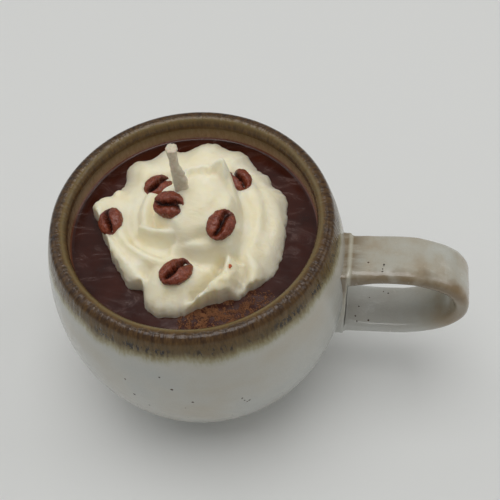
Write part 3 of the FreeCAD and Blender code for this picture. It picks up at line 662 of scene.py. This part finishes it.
whipSettings = {
    "level": 74.2,                 # the brown wax it stands on
    "grid": 200, "halfSpan": 41.0, "voxel": 0.42, "softening": 2, "under": -0.8,
    "meanRadius": 30.6,
    # bulges of its edge: bearing, how far out, half width in degrees
    "edgeLobes": [
        (172, 4.4, 8), (162, -1.0, 5), (135, 6.4, 10), (115, 5.4, 9), (90, 7.4, 13), (70, 5.2, 9),
        (52, 2.6, 9), (30, 2.4, 11), (1, -0.6, 7), (-25, 1.2, 8), (-45, -0.6, 8), (-68, -2.6, 12),
        (-90, 1.4, 7), (-102, 2.4, 8), (-118, -3.8, 6), (-137, -3.0, 13), (-158, -2.6, 11),
    ],
    # height of its edge above the brown wax
    "edgeHeight": 0.8,
    "edgeRise": [(172, 5.6, 12), (-168, 4.8, 16), (-146, 5.6, 18), (-126, 3.6, 10), (-104, 2.3, 12),
                 (-87, 1.4, 9), (125, 0.9, 30)],
    "scallop": 0.7, "fineScallop": 0.3, "scallopRing": 7, "scallopSeed": 3.3,
    "field": 9.0, "fieldReach": 13.5,      # height of the skirt close to the dollop, and how far in it climbs
    "unevenness": 0.22, "seatDepth": 0.5, "seatReach": 4.6, "join": 2.2,
    "dollop": (3.0, 3.0), "dollopRadius": 15.0,
    "dollopLobes": [(20, -3.2, 32), (50, -1.8, 12), (108, -5.2, 32), (156, -3.4, 16), (-150, 1.0, 16),
                    (-100, 3.0, 20), (-60, 2.6, 15)],
    "shoulder": 18.4,
    "shoulderLobes": [(50, 2.4, 12), (104, 3.4, 34), (168, -2.4, 18), (-100, -5.0, 34), (-144, -3.6, 14),
                      (-52, -2.4, 16), (6, -3.0, 22)],
    "crown": 21.6, "crownRound": 1.6, "dollopFoot": 2.0, "fallFrom": 0.72, "fallTo": 1.36,
}

# ridges laid into the whipped wax: points (x, y, height above the brown wax), how wide it is to its
# left and to its right as it runs, how far it falls over that width and past its ends, how soft it
# joins the rest, and how ragged its crest is if at all
whipFolds = [
    # the crust between the wick and the pulled tip
    dict(points=[(-3.0, 5.6, 21.6), (0, 8.8, 22.8), (4.5, 10.6, 22.6),
                 (7.6, 11.0, 23.2), (9.6, 11.5, 25.6)],
         left=1.2, right=3.4, end=1.0, fall=2.6, soft=0.3, ragged=0.5),
    # from the tip down the right flank
    dict(points=[(9.7, 11.2, 25.8), (11.2, 8.6, 20.8), (13.2, 5.2, 17.2),
                 (15.0, 0.6, 13.0), (16.2, -5.0, 10.8)],
         left=1.5, right=5.0, end=1.4, fall=3.4, soft=0.5),
    # the lip under the left shoulder
    dict(points=[(-1.0, -9.2, 14.6), (-5.6, -9.6, 14.0), (-10.2, -9.2, 13.4), (-14.6, -7.6, 12.4)],
         left=1.9, right=1.9, end=1.6, fall=3.0, soft=0.25),
    dict(points=[(14.4, -11.6, 12.6), (8.6, -13.2, 13.8), (2.4, -13.4, 13.2), (-3.0, -13.4, 11.2)],
         left=2.4, right=4.0, end=2.6, fall=3.0, soft=0.8),
    dict(points=[(-14.0, 6.0, 12.2), (-14.6, -1.6, 13.0), (-13.4, -6.4, 12.0)],
         left=3.2, right=2.2, end=3.0, fall=3.0, soft=1.0),
    # two soft ridges along the left edge
    dict(points=[(-26.0, 7.0, 8.4), (-23.4, -5.0, 9.2), (-17.6, -12.6, 9.6),
                 (-9.0, -17.4, 10.0), (0.0, -18.4, 9.4)],
         left=2.6, right=2.0, end=3.0, fall=1.9, soft=0.6),
    dict(points=[(-31.6, 3.6, 8.0), (-28.8, -6.0, 8.4), (-23.4, -12.2, 8.6),
                 (-17.0, -18.8, 8.0), (-11.4, -23.4, 6.4)],
         left=1.4, right=2.0, end=1.4, fall=1.5, soft=0.35, ragged=0.3),
    # the torn ridge right of the front tongue
    dict(points=[(3.2, -29.6, 4.2), (7.2, -27.2, 7.0), (11.0, -23.2, 9.4),
                 (13.6, -20.0, 10.6), (14.0, -15.6, 11.4)],
         left=1.1, right=3.6, end=1.4, fall=2.6, soft=0.15, ragged=0.9),
    # streaks round the right and the back
    dict(points=[(19.6, -7.0, 8.0), (21.0, 3.0, 8.2), (18.6, 12.0, 8.4),
                 (12.4, 19.4, 8.2), (3.2, 23.2, 7.8)],
         left=3.0, right=2.2, end=4.0, fall=1.5, soft=0.7),
    dict(points=[(24.6, -8.0, 5.0), (26.0, 2.0, 5.2), (23.4, 12.4, 5.4), (17.0, 21.2, 5.2)],
         left=3.0, right=2.2, end=4.0, fall=1.1, soft=0.7),
    dict(points=[(-15.0, 21.0, 6.2), (-4.0, 26.8, 6.4), (6.0, 28.8, 5.6)],
         left=3.4, right=2.6, end=4.0, fall=1.5, soft=0.8),
    dict(points=[(-19.4, 15.6, 7.0), (-12.6, 19.4, 8.2), (-3.6, 20.6, 8.6)],
         left=2.6, right=2.6, end=3.0, fall=1.5, soft=0.7),
    dict(points=[(18.8, -11.0, 8.4), (21.8, -15.6, 6.4), (21.0, -21.4, 4.4)],
         left=2.6, right=2.8, end=2.4, fall=2.2, soft=0.7),
]

# creases pressed between the folds: points (x, y), then depth and half width
whipCreases = [
    ([(-16.5, -10.8), (-9.6, -12.6), (-2.6, -14.2), (4.5, -15.8), (12.0, -15.4)], 2.0, 1.5),
    ([(4.4, -26.2), (8.4, -22.0), (11.0, -18.2), (11.8, -15.4)], 2.6, 1.3),
    ([(3.0, -16.6), (7.6, -17.6), (11.4, -19.0)], 1.2, 0.8),
    ([(14.6, 10.4), (18.2, 4.2), (19.4, -4.0), (17.6, -11.0)], 1.3, 2.0),
    ([(-21.4, 5.0), (-20.0, -4.6), (-14.6, -12.4), (-7.0, -15.8)], 1.2, 1.6),
    ([(-17.0, 12.0), (-11.0, 14.8), (-3.4, 14.2), (4.0, 15.8)], 1.0, 1.8),
    ([(16.4, -14.6), (18.4, -18.8), (17.6, -23.6)], 2.2, 1.6),
    ([(23.0, -8.0), (24.0, 3.0), (21.4, 12.6), (15.2, 20.4)], 0.7, 1.3),
    ([(-0.6, 6.6), (3.2, 8.4), (7.4, 8.6)], 1.3, 1.0),
    ([(6.0, -6.6), (9.4, -1.0), (11.0, 5.0)], 0.6, 1.6),
    ([(-15.4, -9.6), (-9.4, -11.6), (-3.4, -11.6)], 1.4, 0.9),
]


def lobes(bearing, shapes):
    total = np.zeros_like(bearing)
    for peak, amount, halfWidth in shapes:
        away = (np.degrees(bearing) - peak + 180) % 360 - 180
        total += amount * np.exp(-(away / halfWidth) ** 2)
    return total


def softMax(first, second, softness):
    share = np.clip(0.5 + 0.5 * (first - second) / softness, 0, 1)
    return first * share + second * (1 - share) + softness * share * (1 - share)


def smoothStep(value, low, high):
    share = np.clip((value - low) / (high - low), 0, 1)
    return share * share * (3 - 2 * share)


def curveThrough(points, perSpan):
    # smooth run through the given points
    p = np.array([points[0]] + list(points) + [points[-1]], float)
    run = []
    for i in range(1, len(p) - 2):
        for step in range(perSpan):
            t = step / perSpan
            run.append(0.5 * ((2 * p[i]) + (p[i + 1] - p[i - 1]) * t
                              + (2 * p[i - 1] - 5 * p[i] + 4 * p[i + 1] - p[i + 2]) * t ** 2
                              + (3 * p[i] - p[i - 1] - 3 * p[i + 1] + p[i + 2]) * t ** 3))
    run.append(p[-2])
    return np.array(run)


def nearestOn(run, x, y):
    # for every point: distance to the run, its height there, which side of it, how far past its ends
    away = np.full(x.shape, farAway)
    height, side, past = np.zeros_like(x), np.ones_like(x), np.zeros_like(x)
    for (x0, y0, z0), (x1, y1, z1) in zip(run, run[1:]):
        dx, dy = x1 - x0, y1 - y0
        span = dx * dx + dy * dy
        free = ((x - x0) * dx + (y - y0) * dy) / span
        t = np.clip(free, 0, 1)
        gap = np.hypot(x - x0 - t * dx, y - y0 - t * dy)
        closer = gap < away
        away[closer] = gap[closer]
        height[closer] = (z0 + t * (z1 - z0))[closer]
        side[closer] = np.sign(dx * (y - y0) - dy * (x - x0))[closer]
        past[closer] = (np.abs(free - t) * math.sqrt(span))[closer]
    return away, height, side, past


def foldHeight(x, y, fold):
    # height of one ridge, falling off to both sides and past its ends
    away, height, side, past = nearestOn(curveThrough(fold["points"], 14), x, y)
    width = np.where(side > 0, fold["left"], fold["right"])
    if "ragged" in fold:
        height = height + fold["ragged"] * layeredNoise(x, y, 1.3, 4.4)
    across = np.sqrt(np.clip(away ** 2 - past ** 2, 0, None))
    return height - fold["fall"] * ((across / width) ** 2 + (past / fold["end"]) ** 2)


def creaseDepth(x, y, points, depth, width):
    run = curveThrough([(px, py, 0) for px, py in points], 6)
    return depth * np.exp(-(nearestOn(run, x, y)[0] / width) ** 2)


def layeredNoise(x, y, size, seed):
    return np.array([noise.fractal(Vector((px / size, py / size, seed)), 0.8, 2.0, 3)
                     for px, py in zip(x.ravel(), y.ravel())]).reshape(x.shape)


def whipHeight(x, y):
    # height above the brown wax at every point of the grid
    s = whipSettings
    reach = np.hypot(x, y)
    bearing = np.arctan2(y, x)
    ring = s["scallopRing"]
    scallop = np.zeros_like(x)
    fineScallop = np.zeros_like(x)
    for index in np.ndindex(x.shape):
        spot = Vector((math.cos(bearing[index]) * ring, math.sin(bearing[index]) * ring, s["scallopSeed"]))
        scallop[index] = noise.fractal(spot, 0.7, 2.1, 4)
        fineScallop[index] = noise.noise(spot * 4.1)
    edge = s["meanRadius"] + lobes(bearing, s["edgeLobes"])
    edge = edge + s["scallop"] * scallop + s["fineScallop"] * fineScallop
    inset = edge - reach
    brink = s["edgeHeight"] + lobes(bearing, s["edgeRise"])
    rounding = np.clip(inset / (0.9 + 0.36 * brink), 0, 1)      # a higher edge is rounded further in
    skirt = brink * np.sqrt(np.clip(1 - (1 - rounding) ** 2, 0, 1))
    climb = np.clip(s["field"] - brink, 0.6, None)
    skirt = skirt + climb * np.sin(np.clip(inset / s["fieldReach"], 0, 1) * math.pi / 2)

    cx, cy = s["dollop"]
    dx, dy = x - cx, y - cy
    away, turnAngle = np.hypot(dx, dy), np.arctan2(dy, dx)
    share = away / (s["dollopRadius"] + lobes(turnAngle, s["dollopLobes"]))
    shoulder = s["shoulder"] + lobes(turnAngle, s["shoulderLobes"])
    top = s["crown"] + (shoulder - s["crown"]) * np.clip(share, 0, 1) ** s["crownRound"]
    # the dollop's foot lies under the skirt, so that only its flank shows
    dollop = (top + s["dollopFoot"]) * (1 - smoothStep(share, s["fallFrom"], s["fallTo"])) - s["dollopFoot"]
    height = softMax(skirt, dollop, s["join"])
    for fold in whipFolds:
        height = softMax(height, foldHeight(x, y, fold), fold["soft"])
    for crease in whipCreases:
        height = height - creaseDepth(x, y, *crease)
    # nowhere thinner than the brink itself
    return np.maximum(height, np.minimum(skirt, brink * 0.9)), inset


beanHeadings = {"bean_1": 46, "bean_2": 9, "bean_3": 100, "bean_4": 66, "bean_5": 46, "bean_6": 80}
beanTurns = {"bean_2": -18, "bean_6": 42}      # a last twist of the pressed beans, in degrees
beanShifts = {"bean_2": (0.9, 1.0, 0.5)}       # and a last push, in millimetres


def beanPlace(node):
    # middle of a bean and its own axes: along, across, and up out of the whipped wax
    co = np.array([vert.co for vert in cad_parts[node].data.vertices]) / mm
    centre = (co.min(0) + co.max(0)) / 2 + np.array(beanShifts.get(node, (0, 0, 0)))
    up = np.linalg.svd(co - co.mean(0), full_matrices=False)[2][2]
    up = up * np.sign(up[2])
    heading = math.radians(beanHeadings[node])
    along = np.array([math.cos(heading), math.sin(heading), 0])
    along = along - up * along.dot(up)
    along = along / np.linalg.norm(along)
    return centre, (along, np.cross(up, along), up)


def makeWhip(beanPlaces):
    s = whipSettings
    bm = bmesh.new()
    bmesh.ops.create_grid(bm, x_segments=s["grid"], y_segments=s["grid"], size=s["halfSpan"] * mm)
    co = np.array([vert.co for vert in bm.verts]) / mm
    x, y = co[:, 0], co[:, 1]
    height, inset = whipHeight(x, y)
    height += np.where(inset > 0, s["unevenness"] * layeredNoise(x, y, 5.0, 1.0), 0)
    # each bean is bedded in a seat that leans as the bean does
    for centre, axes in beanPlaces:
        dx, dy = x - centre[0], y - centre[1]
        up = axes[2]
        seat = centre[2] - s["level"] - s["seatDepth"] - (up[0] * dx + up[1] * dy) / up[2]
        height += (seat - height) * np.exp(-(np.hypot(dx, dy) / s["seatReach"]) ** 4)
    height = np.where(inset > 0, height, s["under"] - 0.6)
    for vert, h in zip(bm.verts, height):
        vert.co.z = (s["level"] + h) * mm
    bottom = (s["level"] + s["under"]) * mm
    outside = [face for face in bm.faces if all(vert.co.z < bottom for vert in face.verts)]
    bmesh.ops.delete(bm, geom=outside, context="FACES")
    # a flat underside, so that the remesh has a closed body
    rim = [edge for edge in bm.edges if edge.is_boundary]
    wall = bmesh.ops.extrude_edge_only(bm, edges=rim)["geom"]
    for vert in only(BMVert, wall):
        vert.co.z = bottom - 0.7 * mm
    lowerRim = [edge for edge in only(BMEdge, wall) if edge.is_boundary]
    bmesh.ops.contextual_create(bm, geom=lowerRim)
    bmesh.ops.triangulate(bm, faces=[f for f in bm.faces if len(f.verts) > 4])
    bmesh.ops.recalc_face_normals(bm, faces=bm.faces)
    bm = voxelRemesh(bm, s["voxel"], s["softening"])
    shakeAlongNormals(bm, 2.6, 0.06, 3, 9.0)
    return bm


def makeIvoryWax():
    material, tree, shader = newMaterial("ivoryWax", roughness=0.42, ior=1.44)
    point = objectPoint(tree)
    clouds = noiseAt(point, 0.12, 4.0)
    colour = ramp(clouds, [(0.3, tone(240, 230, 196)), (0.5, tone(243, 235, 206)),
                                 (0.7, tone(246, 240, 217))])
    # the low parts are painted greyer: partly thin edges over the brown wax looking greyer, partly painted
    # shade on the low lobes
    thinAndShade = spread(axesOf(point)["Z"], 80.5, 75.4)
    colour = stain(colour, thinAndShade, 0.8, tone(216, 210, 191))
    streaks = noiseAt(objectPoint(tree, (420, 900, 1600)), 0.55, 4.0, 0.6, 0.8)
    wave = bumpFrom(streaks, 0.0005, 0.45)
    fine = bumpFrom(noiseAt(point, 2.2), 0.00008, 0.5, wave)
    gloss = uneven(point, 0.5, 0.34, 0.52)
    plug(shader, {"Base Color": colour, "Normal": fine, "Roughness": gloss, "Subsurface Weight": 0.6,
                  "Subsurface Radius": (1.0, 0.84, 0.56), "Subsurface Scale": 0.0036})
    return material


beanNames = sorted(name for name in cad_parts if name.startswith("bean_"))
ivoryWax = makeIvoryWax()
beanPlaces = {name: beanPlace(name) for name in beanNames}
whipPiece = pieceFrom(makeWhip(beanPlaces.values()), "whippedWax", ivoryWax)
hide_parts("cream")
print("whipped wax laid on, %d faces" % len(whipPiece.data.polygons))


beanSettings = {
    "voxel": 0.19, "softening": 1, "bumps": 1.5, "bumpHeight": 0.22,
    "cleftDepth": 1.15, "cleftWidth": 0.66, "openEnd": 0.8, "torn": 0.8, "tearSize": 1.1, "lipRaise": 0.30,
    "bow": 0.35, "stray": 0.25,      # how far the cleft bends and strays to the sides
}


def makeBeanWax():
    material, tree, shader = newMaterial("beanWax", roughness=0.32)
    point = objectPoint(tree)
    clouds = noiseAt(point, 0.7, 4.0)
    colour = ramp(clouds, [(0.3, tone(104, 43, 25)), (0.55, tone(125, 57, 34)),
                                 (0.75, tone(148, 78, 52))])
    # painted shade in the crease: the cleft is darkened in proportion to how deep it is
    cleft = addNode(tree, "Attribute", attribute_name="cleft").outputs["Fac"]
    colour = blend(cleft, colour, tone(44, 17, 11))
    wave = bumpFrom(noiseAt(point, 0.9, 4.0, 0.65), 0.0004, 0.6)
    gloss = spread(noiseAt(point, 1.6), 0.35, 0.65, 0.16, 0.42)
    plug(shader, {"Base Color": colour, "Normal": wave, "Roughness": gloss, "Subsurface Weight": 0.08,
                  "Subsurface Radius": (1.0, 0.4, 0.25), "Subsurface Scale": 0.001})
    return material


def makeBean(node, material, seed):
    s = beanSettings
    bm = bmesh.new()
    bm.from_mesh(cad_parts[node].data)
    bmesh.ops.remove_doubles(bm, verts=bm.verts, dist=0.002 * mm)
    bm = voxelRemesh(bm, s["voxel"], s["softening"])
    bmesh.ops.translate(bm, vec=Vector(beanShifts.get(node, (0, 0, 0))) * mm, verts=bm.verts)
    shakeAlongNormals(bm, s["bumps"], s["bumpHeight"], 3, seed)
    # open the crease into a torn cleft that widens towards one end
    centre, axes = beanPlaces[node]
    middle = Vector(centre)
    along, across, up = (Vector(axis) for axis in axes)
    depths = []
    for vert in bm.verts:
        local = vert.co / mm - middle
        u, v, w = local.dot(along), local.dot(across), local.dot(up)
        tear = noise.fractal(Vector((u, v * 0.4, seed)) / s["tearSize"], 0.7, 2.0, 3)
        width = s["cleftWidth"] * (1 + s["openEnd"] * clamp((u + 1) / 4.5) + s["torn"] * tear)
        off = (v - s["bow"] * math.sin(u * 0.7) - s["stray"] * tear) / max(width, 0.2)
        ends = 1 - 0.9 * clamp((-u - 3.4) / 1.4) - 0.6 * clamp((u - 4.0) / 1.2)      # shallower at both ends
        cleft = ends * math.exp(-off * off) * clamp((w + 0.4) / 1.2)
        vert.co -= up * (s["cleftDepth"] * cleft * mm)
        if 0.25 < cleft < 0.85:      # on the cleft's two slopes
            vert.co += up * (s["lipRaise"] * tear * mm)
        depths.append(cleft)
    twist = Matrix.Rotation(math.radians(beanTurns.get(node, 0)), 3, up)
    bmesh.ops.rotate(bm, cent=middle * mm, matrix=twist, verts=bm.verts)
    piece = pieceFrom(bm, "wax_" + node, material)
    # how deep in the cleft each point lies, which the bean wax darkens as painted shade
    attribute = piece.data.attributes.new("cleft", "FLOAT", "POINT")
    attribute.data.foreach_set("value", np.array(depths, np.float32))
    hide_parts(node)


beanWax = makeBeanWax()
for index, name in enumerate(beanNames):
    makeBean(name, beanWax, 3.0 + 5.1 * index)
print("beans pressed in")


powderSettings = {
    "grains": 3400, "from": -90, "to": -34, "near": 27.5, "far": 36.5, "small": 0.12, "large": 0.30,
    "seed": 11, "level": 74.12, "flatness": 0.6, "heapSize": 3.2, "batch": 40,      # grains made at a time
}


def makePowderMaterial():
    stops = [(0.35, tone(106, 64, 34)), (0.65, tone(134, 88, 52))]
    material, tree, shader = mottledMaterial("brownPowder", 0.8, 0.5, 3.0, stops)
    plug(shader, {"Normal": bumpFrom(noiseAt(objectPoint(tree), 5.0, 2.0), 0.0001, 0.5)})
    return material


def addGrain(bm, place, size, flatness, roll):
    grain = bmesh.ops.create_icosphere(bm, subdivisions=1, radius=size * mm)["verts"]
    bmesh.ops.scale(bm, vec=(1, roll.uniform(0.6, 1), flatness), verts=grain)
    bmesh.ops.rotate(bm, cent=(0, 0, 0), matrix=Matrix.Rotation(roll.uniform(0, 6.28), 3, "Z"), verts=grain)
    bmesh.ops.translate(bm, vec=Vector(place) * mm, verts=grain)


def makePowder():
    s = powderSettings
    roll = random.Random(s["seed"])
    bm = bmesh.new()
    batch, made = bmesh.new(), 0
    gathered = bpy.data.meshes.new("powderBatch")
    while made < s["grains"]:
        bearing = math.radians(roll.uniform(s["from"], s["to"]))
        reach = roll.uniform(s["near"], s["far"])
        x, y = reach * math.cos(bearing), reach * math.sin(bearing)
        # heaped where it was sprinkled, thinner towards the ends
        heap = 0.5 + noise.fractal(Vector((x / s["heapSize"], y / s["heapSize"], 2.0)), 0.8, 2.0, 4)
        share = (math.degrees(bearing) - s["from"]) / (s["to"] - s["from"])
        wanted = heap * math.sin(math.pi * clamp(share) ** 0.7) ** 0.7
        if roll.random() > wanted ** 2 * 1.7:
            continue
        made += 1
        size = s["small"] + (s["large"] - s["small"]) * roll.random() ** 2
        addGrain(batch, (x, y, s["level"] + size * 0.3), size, s["flatness"], roll)
        if made % s["batch"] == 0 or made == s["grains"]:
            # small batches keep this quick
            batch.to_mesh(gathered)
            bm.from_mesh(gathered)
            batch.clear()
    batch.free()
    bpy.data.meshes.remove(gathered)
    return bm


pieceFrom(makePowder(), "brownPowder", makePowderMaterial())

# the middle of the crumb, its height above the brown wax
crumbSettings = {"place": (15.4, -18.5, 10.2), "size": 0.55, "bits": 5, "flatness": 0.8, "seed": 3}


def makeCrumb():
    s = crumbSettings
    roll = random.Random(s["seed"])
    bm = bmesh.new()
    x, y, height = s["place"]
    for _ in range(s["bits"]):
        addGrain(bm, (x + roll.uniform(-0.35, 0.35), y + roll.uniform(-0.6, 0.6),
                      whipSettings["level"] + height + roll.uniform(-0.1, 0.3)),
                 s["size"] * roll.uniform(0.6, 1), s["flatness"], roll)
    return bm


crumbStops = [(0.3, tone(168, 66, 28)), (0.7, tone(196, 96, 48))]
crumbMaterial = mottledMaterial("rustCrumb", 0.5, 1.6, 2.0, crumbStops)[0]
pieceFrom(makeCrumb(), "waxCrumb", crumbMaterial)
print("powder sprinkled")


wickSettings = {
    "radius": 1.42, "strands": 3, "twist": 0.55, "groove": 0.13, "around": 32, "rise": 0.5,
    "buried": 20, "closeFrom": 90,      # one long step in the brown wax, then short ones from this level up
    "inset": 0.5, "waist": 0.14, "wobble": 0.2, "tornTop": 0.4,
    # wax that ran down one side and set as a fin: bearing, half width, the levels between which it dies
    # out, and how far out it stands
    "finBearing": -8, "finHalf": 30, "finTop": 107.5, "finPeak": 100.5, "finReach": 1.7,
    "topFlare": 0.42, "topLength": 4.0, "charred": 1.4,      # how much shorter than its full length
}


def makeWickMaterial():
    stops = [(0.3, tone(206, 194, 168)), (0.7, tone(228, 218, 196))]
    material, tree, shader = mottledMaterial("wickCotton", 0.6, 0.9, 4.0, stops)
    threads = noiseAt(objectPoint(tree, (2600, 2600, 500)), 1.0)
    plug(shader, {"Normal": bumpFrom(threads, 0.0003, 0.6),
                  "Subsurface Weight": 0.2, "Subsurface Scale": 0.001})
    return material


def makeWick():
    s = wickSettings
    low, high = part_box("wick")
    bottom, top = low.z / mm, high.z / mm - s["charred"]
    cx, cy = (low.x + high.x) / 2 / mm, (low.y + high.y) / 2 / mm
    bm = bmesh.new()
    bmesh.ops.create_circle(bm, cap_ends=True, segments=s["around"], radius=s["radius"] * mm)
    bmesh.ops.translate(bm, vec=(cx * mm, cy * mm, bottom * mm), verts=bm.verts)
    end = bm.faces[:]
    for level in [bottom + s["buried"], *np.arange(s["closeFrom"], top, s["rise"]), top]:
        moved, end = extrudeEnd(bm, end)
        for vert in moved:
            vert.co.z = level * mm
    bmesh.ops.inset_region(bm, faces=end, thickness=s["inset"] * mm, depth=0)
    bm.normal_update()
    for vert in bm.verts:
        z = vert.co.z / mm
        dx, dy = vert.co.x / mm - cx, vert.co.y / mm - cy
        reach = math.hypot(dx, dy)
        if reach < 0.2:
            continue
        angle = math.atan2(dy, dx)
        twist = s["groove"] * abs(math.cos(s["strands"] / 2 * angle + s["twist"] * z))
        ragged = max(0, z - (top - s["topLength"])) / s["topLength"]
        spotNoise = noise.noise(Vector((dx * 1.4, dy * 1.4, z * 0.6)))
        grow = s["radius"] - s["waist"] + twist + s["topFlare"] * ragged + s["wobble"] * spotNoise
        grow /= s["radius"]
        # the fin stands out on one side, and dies out towards its top
        off = (math.degrees(angle) - s["finBearing"] + 180) % 360 - 180
        level = smoothStep(z, s["finTop"], s["finPeak"]) if z > s["finPeak"] else 1.0
        stand = s["finReach"] * level * (1 + 0.5 * noise.noise(Vector((3.1, 0.4, z * 0.7))))
        grow += stand * math.exp(-(off / s["finHalf"]) ** 2) / s["radius"] * reach / s["radius"]
        vert.co.x = (cx + dx * grow) * mm
        vert.co.y = (cy + dy * grow) * mm
        if z > top - s["tornTop"]:
            vert.co.z -= max(0, 0.25 + 0.9 * noise.noise(Vector((dx * 1.9, dy * 1.9, 7.7)))) * mm
    bmesh.ops.recalc_face_normals(bm, faces=bm.faces)
    return bm


wickPiece = pieceFrom(makeWick(), "wickStrands", makeWickMaterial())
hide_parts("wick")
print("wick set")


floorHalf = 7      # metres to each side

lampSettings = [
    {"name": "overhead", "size": 1.0, "power": 9.2, "place": (-0.02, 0.09, 1.45), "target": (0, 0, 0.03)},
    {"name": "leftWindow", "size": 1.0, "power": 1.9, "place": (-1.2, 0.3, 1.0), "target": (0, 0, 0.06)},
    {"name": "rightWindow", "size": 0.8, "power": 2.8, "place": (1.2, 0.4, 1.0), "target": (0, 0, 0.06)},
]


def makeFloor():
    material, _, shader = newMaterial("paperFloor", roughness=0.75)
    plug(shader, {"Base Color": tone(226, 227, 225), "Specular IOR Level": 0.2})
    bm = bmesh.new()
    bmesh.ops.create_grid(bm, x_segments=8, y_segments=8, size=floorHalf)
    meshObject(bm, "floor", material)


def softLight(name, size, power, place, target):
    lamp = bpy.data.lights.new(name, "AREA")
    lamp.shape = "SQUARE"
    lamp.size = size
    lamp.energy = power
    holder = linked(name, lamp)
    holder.location = place
    holder.rotation_euler = (Vector(target) - Vector(place)).to_track_quat("-Z", "Y").to_euler()


def setWorld(strength):
    world = bpy.data.worlds.new("softRoom")
    world.use_nodes = True
    background = world.node_tree.nodes["Background"]
    background.inputs["Color"].default_value = (1.0, 0.995, 0.985, 1)
    background.inputs["Strength"].default_value = strength
    bpy.context.scene.world = world


cameraSettings = {
    "bearing": 11.3, "elevation": 56.09, "distance": 0.250, "target": (0.02052, -0.01176, 0.084),
    "roll": -4.88, "lens": 58.17, "sensor": 36.0,
}


def makeCamera():
    s = cameraSettings
    bearing, elevation = math.radians(s["bearing"]), math.radians(s["elevation"])
    away = Vector((math.sin(bearing) * math.cos(elevation), -math.cos(bearing) * math.cos(elevation),
                   math.sin(elevation)))
    target = Vector(s["target"])
    camera = bpy.data.cameras.new("camera")
    camera.lens = s["lens"]
    camera.sensor_width = s["sensor"]
    camera.clip_start = 0.01
    holder = linked("camera", camera)
    holder.location = target + away * s["distance"]
    look = (-away).to_track_quat("-Z", "Y")
    holder.rotation_euler = (look.to_matrix() @ Matrix.Rotation(math.radians(s["roll"]), 3, "Z")).to_euler()
    bpy.context.scene.camera = holder


makeFloor()
setWorld(0.32)
for lamp in lampSettings:
    softLight(**lamp)
makeCamera()
bpy.context.scene.view_settings.view_transform = "Standard"

print("scene ready")
